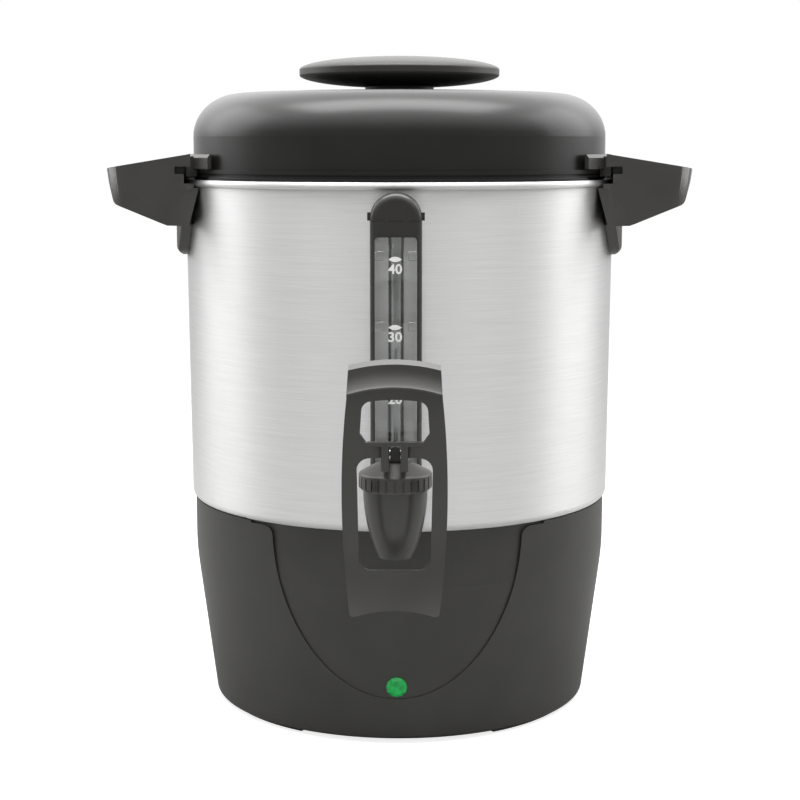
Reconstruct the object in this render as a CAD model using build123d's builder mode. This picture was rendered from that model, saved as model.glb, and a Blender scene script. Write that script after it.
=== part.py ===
from build123d import *

import os
from math import acos, atan, atan2, cos, degrees, pi, radians, sin, tan

# Coffee urn for about forty small cups: a steel vessel on a moulded base, a twist-lock lid,
# two hood handles, a sight gauge and a cup-trip tap. Millimetres, +Z up. The origin is on the
# vessel's axis at the surface that the urn stands on, and the tap faces -Y.

# ---------------------------------------------------------------- driving dimensions
# Fits
touch_gap = 0.1  # between pieces of one body whose curved faces meet
run_gap = 0.35  # between pieces that move past each other
pin_gap = 0.05  # radial play of a pin or tube in its hole

# Vessel
vessel_wall = 1.0
vessel_foot_r = 118.4  # outside radius just above the bottom corner
vessel_flare = 1.4
vessel_rim_r = vessel_foot_r + vessel_flare  # outside radius under the rolled rim
vessel_seat_z = 116.0  # underside of the pressed seat ring
vessel_corner_r = 4.0
vessel_rim_z = 290.4  # where the wall runs into the rolled rim
rim_bead_r = 1.85  # the rim is rolled into a round bead
rim_bead_out = 0.35  # bead centre outside the wall's outer face
floor_rise = 4.0  # floor above the seat ring
floor_slope_w = 7.0  # width of the cone between the seat ring and the floor
seat_ring_w = 7.0  # seat ring inside the stud circle
stud_r = 2.0
stud_length = 11.0
stud_angles = (90, 210, 330)

# Heat well in the middle of the floor
well_in_r = 27.0
well_wall = 1.0
well_depth = 9.0  # below the top of the floor
well_flange_r = 34.0
well_gasket_t = 1.5
well_nut_r = 36.0
well_nut_t = 6.0
well_gap = 0.3

# Heaters under the floor
heater_r = 25.0
heater_t = 5.0
ring_heater_in_r = 58.0
ring_heater_out_r = 70.0
ring_heater_t = 4.0
thermostat_r = 9.0
thermostat_t = 8.0
fuse_r = 2.2
fuse_length = 16.0
element_circle_r = 21.0
shield_t = 1.0
shield_rim_in_w = 5.0  # the clamped rim inside the stud circle
shield_rim_out_w = 5.5  # and outside it
shield_cone_w = 7.0
shield_dish_depth = 21.0
shield_hole_r = 14.0
stud_nut_r = 3.9  # half the width across the corners
stud_nut_t = 3.2

# Base shell
base_set_in = 1.7  # the shell's top inside the vessel's foot
base_top_r = vessel_foot_r - base_set_in
base_wall = 3.0
base_edge_z = 2.0  # lower edge of the shell above the table
base_draft = 10.8  # the shell's lower edge is this far inside its top
base_foot_r = base_top_r - base_draft
stud_inset = 12.7  # stud circle inside the shell's top
stud_circle_r = base_top_r - stud_inset
seat_ring_in_r = stud_circle_r - seat_ring_w
floor_flat_r = seat_ring_in_r - floor_slope_w
shield_rim_in_r = stud_circle_r - shield_rim_in_w
shield_rim_out_r = stud_circle_r + shield_rim_out_w
shield_dish_r = shield_rim_in_r - shield_cone_w
base_break_z = 86.0  # below this height the wall leans in
base_break_round = 150.0
base_edge_round = 2.4
base_flange_w = 8.0  # the shell's flange inside the stud circle
base_flange_in_r = stud_circle_r - base_flange_w
base_flange_t = 3.0
ledge_w = 14.9  # the cover's ledge inside the shell's lower edge
ledge_in_r = base_foot_r - ledge_w
ledge_t = 3.0
cover_t = 3.0
cover_gap = 0.3
boss_inset = 9.4  # boss circle inside the shell's lower edge
boss_circle_r = base_foot_r - boss_inset
boss_r = 4.4
boss_height = 12.0
screw_r = 1.75
screw_length = 11.0
screw_head_r = 3.4
screw_angles = (0, 90, 180, 270)

# Front bib: a shallow elliptical panel set back into the shell
bib_half_width = 65.5
bib_depth_z = 91.0  # from the top of the shell to the panel's lowest point
bib_step = 1.6  # set back at the top of the shell
bib_break_step = 1.1  # set back at the shell's break
bib_low_step = 0.4  # set back at the panel's lowest point
bib_shoulder_width = 12.0  # the side panels' top corners are cut this far out
bib_shoulder_drop = 1.2
bib_corner_r = 5.0

# Standing ring and feet
ring_inset = 14.4  # standing ring inside the shell's lower edge
ring_w = 4.0
ring_out_r = base_foot_r - ring_inset
ring_in_r = ring_out_r - ring_w
foot_inset = 4.4  # outer edge of the feet inside the shell's lower edge
foot_out_r = base_foot_r - foot_inset
foot_half_angle = 14.5
foot_angles = (45, 135, 225, 315)
vent_circle_r = 55.0
vent_length = 22.0
vent_width = 4.0
vent_count = 8

# Indicator lamp
lamp_z = 31.9
lens_r = 5.5
lens_stem_r = 4.3
lens_stand_out = 1.8
lens_length = 12.0
lens_facets = 12
bulb_r = 2.4
bulb_length = 15.0
clip_r = 8.0
clip_t = 1.2
clip_gap = 0.4  # a flat ring on the round wall's inside stands off by this at its middle

# Cord gland in the rear wall
gland_z = 32.0
gland_r = 6.5
gland_flange_r = 8.5
gland_bore_r = 4.0
gland_flange_t = 2.5
gland_inside = 10.0

# Terminal block and internal leads
terminal_x = 26.0
terminal_y = 14.0
terminal_z = 13.0
terminal_place_y = 62.0
wire_r = 1.1

# Handles
handle_reach = 43.6  # outer edge of the hood beyond the vessel's rim
handle_tip_x = vessel_rim_r + handle_reach
handle_tip_z = 299.4
handle_top_slope = 0.16  # fall of the top face for each millimetre outwards
handle_front_lean = 5.8
handle_low_x = handle_tip_x - handle_front_lean  # outer lower corner
handle_low_z = 277.6
handle_leg_t = 7.2
handle_under_x = vessel_rim_r + handle_leg_t  # where the underside meets the bracket
handle_under_z = 270.6
handle_root_y = 56.0  # half width beside the vessel
handle_tip_y = 43.0  # half width at the outer corners
handle_tip_bow = 8.4  # the outer edge bows out by this
handle_tip_corner_x = handle_tip_x - handle_tip_bow
handle_root_in = 12.8  # the root lies this far inside the vessel's rim
handle_root_x = vessel_rim_r - handle_root_in
hood_overrun = 17.0  # the hood runs on this far inside its root before it is trimmed
handle_wall = 3.0
handle_roof = 3.4
bracket_t = 5.3
bracket_low_z = 252.6
bracket_low_y = 30.0
bracket_mid_z = 271.0
bracket_mid_y = 44.0
bracket_high_z = 291.0
bracket_corner_r = 14.0
rim_recess_w = 6.7
rim_recess_r = vessel_rim_r + rim_recess_w
rim_recess_low_z = 292.0
catch_slot_z = 297.2
catch_slot_h = 3.9
catch_slot_w = 10.8
catch_slot_r = vessel_rim_r + catch_slot_w
pocket_high_w = 14.2
pocket_high_r = vessel_rim_r + pocket_high_w  # the pocket starts here above the bracket

# Lid catches, one in each handle
catch_t = 6.0
catch_set_in = 2.5  # the catch's inner face inside the vessel's rim
catch_in_r = vessel_rim_r - catch_set_in
catch_out_r = catch_in_r + catch_t
catch_low_z = 295.8
catch_high_z = 306.5
catch_half_angle = 22.5
lip_reach = 1.9
lip_in_r = catch_in_r - lip_reach
lip_low_z = 299.9
lip_high_z = 307.6
lip_half_angle = 20.5
horn_t = 2.3
horn_out_r = catch_in_r + horn_t
horn_half_angle = 33.0
tongue_gap = 0.4
tongue_out_r = catch_slot_r - tongue_gap
tongue_h = 3.5

# Handle screws
handle_screw_r = 2.0
handle_screw_head_r = 3.6
handle_screw_head_t = 1.8
handle_nut_r = 3.9
handle_nut_t = 2.6
handle_screw_low_z = 262.5
handle_screw_high_z = 280.5
handle_screw_angle = 15.0
handle_screw_places = (
    (0.0, handle_screw_low_z),
    (-handle_screw_angle, handle_screw_high_z),
    (handle_screw_angle, handle_screw_high_z),
)

# Sight gauge
gauge_depth = 13.2  # the gauge's front before the vessel's rim
gauge_front_y = vessel_rim_r + gauge_depth
tube_set_back = 6.4
gauge_y = gauge_front_y - tube_set_back  # the tube's axis in front of the urn's axis
gauge_half_width = 12.9
gauge_low_z = 150.5
gauge_seam_z = 275.5
gauge_top_z = 289.5
gauge_corner_r = 4.0
gauge_wall = 2.0
window_half_width = 10.5
window_low_z = 152.9
window_high_z = 267.7
window_corner_r = 2.0
window_bulge = 0.5
window_t = 1.8
window_clip = 4.2
window_clip_low_z = 223.4
window_clip_high_z = 258.2
tube_r = 3.8
tube_wall = 1.0
tube_low_z = 144.0
tube_high_z = 281.0
seal_r = 4.9
seal_h = 5.0
socket_r = 7.0
socket_top_z = 150.3
socket_bore_r = 2.5
cap_nub_out = 1.3
cap_nub_h = 4.0
cap_round = 4.0
cap_peg_r = 2.5
cap_peg_z = 282.0
push_nut_r = 6.0

# Tap
shank_z = 137.0
shank_r = 8.5
shank_bore_r = 5.5
shank_inside = 14.4
shank_inner_y = vessel_foot_r - shank_inside  # inner end of the shank
neck_r = 8.8
tap_flange_r = 13.0
tap_flange_t = 3.0
tap_washer_t = 3.0
spout_z = 112.0  # lower end of the spout
spout_r = 8.4
spout_bore_r = 5.6
barrel_r = 15.8
barrel_top_z = 146.0
collar_r = 14.6
collar_top_z = 154.0
chamber_r = 11.6
seat_z = 128.0
shank_nut_r = 14.0
shank_nut_t = 7.0
bonnet_r = 18.0
bonnet_gauge_gap = 1.0
tap_reach = gauge_front_y + bonnet_gauge_gap + bonnet_r  # tap axis in front of the urn's axis
bonnet_low_z = 146.1
bonnet_band_z = 154.2
bonnet_top_z = 159.5
bonnet_flat_r = 8.0
bonnet_bore_r = 6.0  # inside, under the roof
bonnet_edge_w = 1.4
bonnet_groove_count = 28
bonnet_groove_w = 0.9
bonnet_groove_depth = 0.6
bonnet_roof = 2.5
stem_r = 2.6
post_half_width = 2.45
post_half_depth = 3.4
post_top_z = 167.4
cup_r = 8.6
cup_h = 13.0

# Tap handle
pin_z = 163.9
tap_pin_r = 1.5
loop_reach = 23.5
loop_y = tap_reach + loop_reach  # front face of the loop's arms
loop_t = 5.0
loop_top_z = 212.4
loop_bend_r = 88.0  # the top bar is bent to this radius
loop_bend_half_angle = 25.0
loop_bevel_h = 2.1
loop_bevel_depth = 2.8
loop_lip_z = 200.0
loop_lip_t = 0.8
loop_bar_z = 198.5  # underside of the top bar at its middle
loop_shoulder_z = 194.0  # the arms' widest line under the bar
loop_low_z = 92.3
loop_low_corner_z = 89.0
loop_top_half = 21.6
loop_bar_half = 22.8
loop_mid_half = 25.3
loop_mid_z = 148.0
loop_low_half = 21.3
loop_bar_bulge = 5.0
loop_bar_y = loop_y + loop_bar_bulge  # front of the bulged top bar
loop_paddle_flare = 7.5
loop_paddle_y = loop_y + loop_paddle_flare  # front of the paddle's lower edge
paddle_top_z = 111.0
crossbar_low_z = 165.2
crossbar_high_z = 172.7
crossbar_recess_x = 14.0  # beside the fork the crossbar's front falls back from here
crossbar_recess_depth = 2.2
crossbar_edge_h = 1.8  # left standing above the recess
post_slot_edge_h = 1.6
upper_window_half = 16.6
upper_window_high_z = 193.3
upper_window_arch = 1.4
upper_window_cut_w = 2.8
upper_window_cut_h = 4.0
lower_window_top_half = 18.3
lower_window_low_half = 17.2
cheek_in_x = 2.9
cheek_out_x = 6.4
cheek_eye_r = 3.8
cheek_nose_z = 158.7

# Lid
lid_set_in = 4.8  # the dome's side inside the vessel's rim
lid_r = vessel_rim_r - lid_set_in
lid_wall = 2.6
lid_flange_w = 1.8
lid_flange_r = lid_r + lid_flange_w
lid_flange_low_z = 297.5
lid_flange_high_z = 299.5
lid_ring_low_z = 295.5
lid_ring_high_z = 296.5
lid_seat_w = 5.6
lid_seat_r = lid_r + lid_seat_w
lid_seat_low_z = 294.4
lid_plug_low_z = 286.0
lid_plug_gap = 0.4
lid_plug_r = lid_r - lid_plug_gap
lid_shoulder_z = 317.0
lid_shoulder_w = 26.0
lid_shoulder_h = 23.6
lid_crown_angle = 87.5
lid_notch_half_angle = 22.3
lid_seat_notch_half_angle = 34.5

# Knob
knob_neck_r = 19.2
knob_neck_h = 2.2
knob_r = 55.8
knob_rim_h = 2.8
knob_dish_h = 7.0
knob_crown_h = 7.3
knob_crown_angle = 84.0
knob_hole_depth = 9.0
knob_washer_r = 9.0
knob_washer_t = 1.0
knob_head_h = 2.4
knob_screw_r = 2.5

# Brewing set
pump_r = 5.0
pump_wall = 0.8
pump_low_z = 118.0
pump_high_z = 291.0
pump_foot_r = 24.0
pump_plate_t = 1.0
pump_skirt_h = 4.0
pump_cone_z = 127.0
pump_collar_z = 134.0
pump_collar_r = 7.0
pump_hole_r = 4.0
valve_r = 9.0
valve_t = 1.0
valve_travel = 2.0
stop_r = 8.5
stop_t = 3.0
basket_low_z = 224.5
basket_high_z = 283.0
basket_low_r = 78.0
basket_high_r = 82.0
basket_wall = 1.0
basket_bead_r = 1.5
sleeve_r = 7.5
sleeve_high_z = 262.0
hole_r = 1.6
hole_ring_radii = (22.0, 40.0, 58.0)
hole_pitch = 18.0  # along each ring
spreader_gap = 1.0
spreader_r = basket_high_r + spreader_gap
spreader_t = 1.0
spreader_lip_h = 5.0
spreader_collar_r = 8.5
spreader_collar_h = 4.0

os.makedirs("parts", exist_ok=True)


def radial_plane(angle, z=0.0):
    """Section plane through the urn's axis: local x runs outwards at the angle, local y is up."""
    a = radians(angle)
    return Plane(origin=(0, 0, z), x_dir=(cos(a), sin(a), 0), z_dir=(sin(a), -cos(a), 0))


def wall_plane(angle, radius, z, lean=0.0):
    """Plane on a round wall: its normal points outwards at the angle, leaning by lean degrees."""
    a = radians(angle)
    tilt = radians(lean)
    out = (cos(a) * cos(tilt), sin(a) * cos(tilt), sin(tilt))
    return Plane(origin=(radius * cos(a), radius * sin(a), z), x_dir=(-sin(a), cos(a), 0), z_dir=out)


def vessel_radius(z):
    """Outside radius of the side wall at a height."""
    foot_z = vessel_seat_z + vessel_corner_r
    share = (z - foot_z) / (vessel_rim_z - foot_z)
    return vessel_foot_r + (vessel_rim_r - vessel_foot_r) * share


def base_radius(z):
    """Outside radius of the base shell, before its break is rounded."""
    if z >= base_break_z:
        return base_top_r
    lean = (base_top_r - base_foot_r) / (base_break_z - base_edge_z)
    return base_top_r - lean * (base_break_z - z)


def finish(part, name):
    """Label a finished piece and write it."""
    part.label = name
    export_step(part, f"parts/{name}.step")


# ---------------------------------------------------------------- envelopes that others seat on
skin_low_z = vessel_seat_z - 20
skin_high_z = vessel_rim_z + 20
with BuildPart() as vessel_skin:
    # Outside of the side wall plus the touch gap: cuts every piece that saddles on it
    with BuildSketch(Plane.XZ):
        with BuildLine():
            Polyline(
                (0, skin_low_z),
                (vessel_radius(skin_low_z) + touch_gap, skin_low_z),
                (vessel_radius(skin_high_z) + touch_gap, skin_high_z),
                (0, skin_high_z),
                close=True,
            )
        make_face()
    revolve(axis=Axis.Z)

with BuildPart() as vessel_lining:
    # Inside of the side wall less the touch gap: the fittings inside the vessel end on it
    with BuildSketch(Plane.XZ):
        with BuildLine():
            inset = vessel_wall + touch_gap
            Polyline(
                (0, skin_low_z),
                (vessel_radius(skin_low_z) - inset, skin_low_z),
                (vessel_radius(skin_high_z) - inset, skin_high_z),
                (0, skin_high_z),
                close=True,
            )
        make_face()
    revolve(axis=Axis.Z)

# ---------------------------------------------------------------- vessel
floor_top_z = vessel_seat_z + floor_rise + vessel_wall
well_hole_r = well_in_r + well_wall + well_gap
bead_centre_r = vessel_rim_r + rim_bead_out
bead_centre_z = vessel_rim_z + rim_bead_r
bead_top_z = bead_centre_z + rim_bead_r
shank_hole_r = shank_r + 0.3

with BuildPart() as vessel:
    with BuildSketch(Plane.XZ):
        with BuildLine():
            seat_edge = (vessel_foot_r - vessel_corner_r, vessel_seat_z)
            wall_foot = (vessel_foot_r, vessel_seat_z + vessel_corner_r)
            Polyline(
                (well_hole_r, vessel_seat_z + floor_rise),
                (floor_flat_r, vessel_seat_z + floor_rise),
                (seat_ring_in_r, vessel_seat_z),
                seat_edge,
            )
            TangentArc(seat_edge, wall_foot, tangent=(1, 0))
            Line(wall_foot, (vessel_rim_r, bead_centre_z))
            offset(amount=vessel_wall, side=Side.LEFT)
        make_face()
        with Locations((bead_centre_r, bead_centre_z)):
            Circle(rim_bead_r)
    revolve(axis=Axis.Z)
    # Weld studs under the seat ring
    with BuildSketch(Plane.XY.offset(vessel_seat_z + vessel_wall / 2)):
        for angle in stud_angles:
            with PolarLocations(stud_circle_r, 1, start_angle=angle):
                Circle(stud_r)
    extrude(amount=-(stud_length + vessel_wall / 2))
    # Holes for the tap, the gauge cap's peg and the handle screws
    with BuildSketch(wall_plane(-90, vessel_rim_r + 2, shank_z)):
        Circle(shank_hole_r)
    extrude(amount=-8, mode=Mode.SUBTRACT)
    with BuildSketch(wall_plane(-90, vessel_rim_r + 2, cap_peg_z)):
        Circle(cap_peg_r + touch_gap)
    extrude(amount=-8, mode=Mode.SUBTRACT)
    for side_angle in (0, 180):
        for screw_angle, screw_z in handle_screw_places:
            with BuildSketch(wall_plane(side_angle + screw_angle, vessel_rim_r + 2, screw_z)):
                Circle(handle_screw_r + pin_gap)
            extrude(amount=-8, mode=Mode.SUBTRACT)
finish(vessel.part, "vessel")

# ---------------------------------------------------------------- heat well and heaters
well_bottom_z = floor_top_z - well_depth
well_flange_z = floor_top_z + well_gasket_t
with BuildPart() as heat_well:
    with BuildSketch(Plane.XZ):
        with BuildLine():
            Polyline(
                (0, well_bottom_z),
                (well_in_r, well_bottom_z),
                (well_in_r, well_flange_z + well_wall),
                (well_flange_r, well_flange_z + well_wall),
                (well_flange_r, well_flange_z),
                (well_in_r + well_wall, well_flange_z),
                (well_in_r + well_wall, well_bottom_z - well_wall),
                (0, well_bottom_z - well_wall),
                close=True,
            )
        make_face()
    revolve(axis=Axis.Z)
finish(heat_well.part, "heat_well")

with BuildPart() as heat_well_gasket:
    with BuildSketch(Plane.XY.offset(floor_top_z)):
        Circle(well_flange_r)
        Circle(well_hole_r, mode=Mode.SUBTRACT)
    extrude(amount=well_gasket_t)
finish(heat_well_gasket.part, "heat_well_gasket")

well_nut_top_z = floor_top_z - vessel_wall
with BuildPart() as heat_well_nut:
    with BuildSketch(Plane.XY.offset(well_nut_top_z - well_nut_t)):
        RegularPolygon(well_nut_r, 8, major_radius=False)
        Circle(well_in_r + well_wall + touch_gap, mode=Mode.SUBTRACT)
    extrude(amount=well_nut_t)
finish(heat_well_nut.part, "heat_well_nut")

heater_top_z = well_bottom_z - well_wall
heater_low_z = heater_top_z - heater_t
with BuildPart() as brew_heater:
    # Cast disc with the sheathed element standing out as a ring below it
    with BuildSketch(Plane.XY.offset(heater_low_z)):
        Circle(heater_r)
    extrude(amount=heater_t)
    with BuildSketch(Plane.XZ):
        with Locations((element_circle_r, heater_low_z)):
            Circle(heater_t / 2)
    revolve(axis=Axis.Z, revolution_arc=300)
finish(brew_heater.part, "brew_heater")

ring_heater_top_z = floor_top_z - vessel_wall
with BuildPart() as keep_warm_heater:
    with BuildSketch(Plane.XY.offset(ring_heater_top_z - ring_heater_t)):
        Circle(ring_heater_out_r)
        Circle(ring_heater_in_r, mode=Mode.SUBTRACT)
    extrude(amount=ring_heater_t)
finish(keep_warm_heater.part, "keep_warm_heater")

thermostat_low_z = heater_low_z - thermostat_t
with BuildPart() as thermostat:
    with BuildSketch(Plane.XY.offset(thermostat_low_z)):
        Circle(thermostat_r)
    extrude(amount=thermostat_t)
    # Two blade terminals
    with BuildSketch(Plane.XY.offset(thermostat_low_z - 7)):
        with GridLocations(9, 0, 2, 1):
            Rectangle(0.8, 6.3)
    extrude(amount=7)
finish(thermostat.part, "thermostat")

fuse_y = 0.5 * (ring_heater_in_r + ring_heater_out_r)
fuse_z = ring_heater_top_z - ring_heater_t - fuse_r
with BuildPart() as thermal_fuse:
    # A small cartridge clipped flat under the ring heater
    with BuildSketch(Plane.YZ.offset(-fuse_length / 2)):
        with Locations((fuse_y, fuse_z)):
            Circle(fuse_r)
    extrude(amount=fuse_length)
    with BuildSketch(Plane.YZ.offset(-fuse_length / 4)):
        with Locations((fuse_y, fuse_z + fuse_r / 2)):
            Rectangle(2.2 * fuse_r, fuse_r)
    extrude(amount=fuse_length / 2)
finish(thermal_fuse.part, "thermal_fuse")

# ---------------------------------------------------------------- base shell
base_flange_z = vessel_seat_z - base_flange_t
ledge_z = base_edge_z + cover_t
inner_top_r = base_top_r - base_wall
inner_low_r = base_radius(ledge_z + ledge_t) - base_wall
bib_low_z = vessel_seat_z - bib_depth_z
bib_low_r = base_radius(bib_low_z) - bib_low_step
bib_break_r = base_top_r - bib_break_step
bib_slope = (bib_break_r - bib_low_r) / (base_break_z - bib_low_z)
lamp_lean = -degrees(atan(bib_slope))
lamp_wall_r = bib_low_r + bib_slope * (lamp_z - bib_low_z)
wall_lean = -degrees(atan2(base_top_r - base_foot_r, base_break_z - base_edge_z))
cover_r = base_foot_r - base_wall - cover_gap

with BuildPart() as bib_inner:
    # The surface of the set-back panel: the shell's outline less a step that lessens downwards
    with BuildSketch(Plane.XZ):
        with BuildLine():
            Polyline(
                (0, bib_low_z - 10),
                (bib_low_r - 10 * bib_slope, bib_low_z - 10),
                (bib_break_r, base_break_z),
                (base_top_r - bib_step, vessel_seat_z),
                (0, vessel_seat_z),
                close=True,
            )
        make_face()
    revolve(axis=Axis.Z)

with BuildPart() as bib_cutter:
    with BuildSketch(Plane.XZ.offset(base_top_r - 45)):
        with Locations((0, vessel_seat_z)):
            Ellipse(bib_half_width, bib_depth_z)
        with Locations((0, vessel_seat_z + 4)):
            Rectangle(2 * (bib_half_width + bib_shoulder_width), 2 * (4 + bib_shoulder_drop))
        inner_corners = [v for v in vertices() if abs(v.Y - vessel_seat_z + bib_shoulder_drop) < 0.01]
        fillet([v for v in inner_corners if abs(v.X) < bib_half_width + 1], bib_corner_r)
    extrude(amount=60)
    add(bib_inner.part, mode=Mode.SUBTRACT)

with BuildPart() as base_shell:
    with BuildSketch(Plane.XZ):
        with BuildLine():
            Polyline(
                (base_flange_in_r, vessel_seat_z),
                (base_top_r, vessel_seat_z),
                (base_top_r, base_break_z),
                (base_foot_r, base_edge_z),
                (base_foot_r - base_wall, base_edge_z),
                (base_foot_r - base_wall, ledge_z),
                (ledge_in_r, ledge_z),
                (ledge_in_r, ledge_z + ledge_t),
                (inner_low_r, ledge_z + ledge_t),
                (inner_top_r, base_break_z),
                (inner_top_r, base_flange_z),
                (base_flange_in_r, base_flange_z),
                close=True,
            )
        make_face()
        fillet(vertices().sort_by_distance((base_top_r, base_break_z))[0], base_break_round)
        fillet(vertices().sort_by_distance((inner_top_r, base_break_z))[0], base_break_round)
        fillet(vertices().sort_by_distance((base_foot_r, base_edge_z))[0], base_edge_round)
    revolve(axis=Axis.Z)
    # Bosses for the cover screws
    with BuildSketch(Plane.XY.offset(ledge_z + ledge_t / 2)):
        for angle in screw_angles:
            with PolarLocations(boss_circle_r, 1, start_angle=angle):
                Circle(boss_r)
    extrude(amount=boss_height)
    with BuildSketch(Plane.XY.offset(ledge_z - 1)):
        for angle in screw_angles:
            with PolarLocations(boss_circle_r, 1, start_angle=angle):
                Circle(screw_r + pin_gap)
    extrude(amount=boss_height, mode=Mode.SUBTRACT)
    # Holes for the vessel's studs
    with BuildSketch(Plane.XY.offset(base_flange_z - 1)):
        for angle in stud_angles:
            with PolarLocations(stud_circle_r, 1, start_angle=angle):
                Circle(stud_r + touch_gap)
    extrude(amount=base_flange_t + 2, mode=Mode.SUBTRACT)
    # Lamp hole in front and gland hole behind
    with BuildSketch(wall_plane(-90, lamp_wall_r, lamp_z, lamp_lean).offset(5)):
        Circle(lens_stem_r + touch_gap)
    extrude(amount=-15, mode=Mode.SUBTRACT)
    with BuildSketch(wall_plane(90, base_radius(gland_z), gland_z, wall_lean).offset(5)):
        Circle(gland_r + touch_gap)
    extrude(amount=-15, mode=Mode.SUBTRACT)
    add(bib_cutter.part, mode=Mode.SUBTRACT)
finish(base_shell.part, "base_shell")

with BuildPart() as bottom_cover:
    # Floor plate with a standing ring, which widens into four feet, and radial vents
    with BuildSketch(Plane.XY.offset(base_edge_z)):
        Circle(cover_r)
        with PolarLocations(vent_circle_r, vent_count, start_angle=180 / vent_count):
            SlotOverall(vent_length, vent_width, mode=Mode.SUBTRACT)
    extrude(amount=cover_t)
    with BuildSketch(Plane.XY):
        Circle(ring_out_r)
        for angle in foot_angles:
            with BuildLine():
                low = radians(angle - foot_half_angle)
                high = radians(angle + foot_half_angle)
                mid = radians(angle)
                inner = 0.5 * (ring_in_r + ring_out_r)
                Line((inner * cos(low), inner * sin(low)), (foot_out_r * cos(low), foot_out_r * sin(low)))
                ThreePointArc(
                    (foot_out_r * cos(low), foot_out_r * sin(low)),
                    (foot_out_r * cos(mid), foot_out_r * sin(mid)),
                    (foot_out_r * cos(high), foot_out_r * sin(high)),
                )
                Line((foot_out_r * cos(high), foot_out_r * sin(high)), (inner * cos(high), inner * sin(high)))
                ThreePointArc(
                    (inner * cos(high), inner * sin(high)),
                    (inner * cos(mid), inner * sin(mid)),
                    (inner * cos(low), inner * sin(low)),
                )
            make_face()
        Circle(ring_in_r, mode=Mode.SUBTRACT)
    extrude(amount=base_edge_z)
    for angle in screw_angles:
        a = radians(angle)
        place = Plane((boss_circle_r * cos(a), boss_circle_r * sin(a), base_edge_z), z_dir=(0, 0, -1))
        with Locations(place):
            CounterSinkHole(screw_r + touch_gap, screw_head_r + touch_gap, depth=cover_t + 1)
finish(bottom_cover.part, "bottom_cover")

with BuildPart() as bottom_screws:
    # Four countersunk screws up into the bosses
    for angle in screw_angles:
        a = radians(angle)
        centre = (boss_circle_r * cos(a), boss_circle_r * sin(a))
        with BuildSketch(Plane.XY.offset(base_edge_z)):
            with Locations(centre):
                Circle(screw_head_r)
        extrude(amount=screw_head_r - screw_r, taper=45)
        with BuildSketch(Plane.XY.offset(base_edge_z)):
            with Locations(centre):
                Circle(screw_r)
        extrude(amount=screw_length)
finish(bottom_screws.part, "bottom_screws")

with BuildPart() as stud_nuts:
    with BuildSketch(Plane.XY.offset(base_flange_z - shield_t)):
        for angle in stud_angles:
            with PolarLocations(stud_circle_r, 1, start_angle=angle):
                RegularPolygon(stud_nut_r, 6)
                Circle(stud_r + pin_gap, mode=Mode.SUBTRACT)
    extrude(amount=-stud_nut_t)
finish(stud_nuts.part, "stud_nuts")

with BuildPart() as heat_shield:
    # Dished sheet: its rim is clamped under the shell's flange, its floor lies below the heaters
    with BuildSketch(Plane.XZ):
        with BuildLine():
            dish_z = base_flange_z - shield_dish_depth
            Polyline(
                (shield_rim_out_r, base_flange_z),
                (shield_rim_in_r, base_flange_z),
                (shield_dish_r, dish_z),
                (shield_hole_r, dish_z),
            )
            offset(amount=shield_t, side=Side.LEFT)
        make_face()
    revolve(axis=Axis.Z)
    with BuildSketch(Plane.XY.offset(base_flange_z - 2 * shield_t)):
        for angle in stud_angles:
            with PolarLocations(stud_circle_r, 1, start_angle=angle):
                Circle(stud_r + touch_gap)
    extrude(amount=3 * shield_t, mode=Mode.SUBTRACT)
finish(heat_shield.part, "heat_shield")

# ---------------------------------------------------------------- indicator lamp
lens_plane = wall_plane(-90, lamp_wall_r, lamp_z, lamp_lean)
with BuildPart() as indicator_lens:
    # Jewel with a many-sided crown, and a hollow stem that takes the bulb
    with BuildSketch(lens_plane):
        RegularPolygon(lens_r, lens_facets)
    extrude(amount=lens_stand_out * 0.4)
    with BuildSketch(lens_plane.offset(lens_stand_out * 0.4)):
        RegularPolygon(lens_r, lens_facets)
    extrude(amount=lens_stand_out * 0.6, taper=50)
    with BuildSketch(lens_plane):
        Circle(lens_stem_r)
    extrude(amount=-lens_length)
    with BuildSketch(lens_plane.offset(-1.0)):
        Circle(bulb_r + touch_gap)
    extrude(amount=-lens_length, mode=Mode.SUBTRACT)
finish(indicator_lens.part, "indicator_lens")

with BuildPart() as indicator_lamp:
    with BuildSketch(lens_plane.offset(-2.0)):
        Circle(bulb_r)
    extrude(amount=-bulb_length)
    fillet(faces().sort_by(Axis.Y)[0].edges(), 1.2)
finish(indicator_lamp.part, "indicator_lamp")

with BuildPart() as lamp_clip:
    # Push-on ring with four spring teeth round the lens stem
    with BuildSketch(lens_plane.offset(-base_wall - clip_gap)):
        Circle(clip_r)
        Circle(lens_stem_r + touch_gap, mode=Mode.SUBTRACT)
        with PolarLocations(lens_stem_r + 0.8, 4):
            Rectangle(2.4, 1.0, mode=Mode.SUBTRACT)
    extrude(amount=-clip_t)
finish(lamp_clip.part, "lamp_clip")

# ---------------------------------------------------------------- cord gland, terminals, leads
gland_plane = wall_plane(90, base_radius(gland_z), gland_z, wall_lean)
with BuildPart() as cord_gland:
    with BuildSketch(gland_plane):
        Circle(gland_flange_r)
    extrude(amount=gland_flange_t, taper=12)
    with BuildSketch(gland_plane):
        Circle(gland_r)
    extrude(amount=-gland_inside)
    # Snap lip behind the wall
    with BuildSketch(gland_plane.offset(-base_wall - clip_gap)):
        Circle(gland_r + 1.0)
    extrude(amount=-2.0)
    with BuildSketch(gland_plane.offset(gland_flange_t)):
        Circle(gland_bore_r)
    extrude(amount=-(gland_inside + gland_flange_t), mode=Mode.SUBTRACT)
finish(cord_gland.part, "cord_gland")

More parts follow.
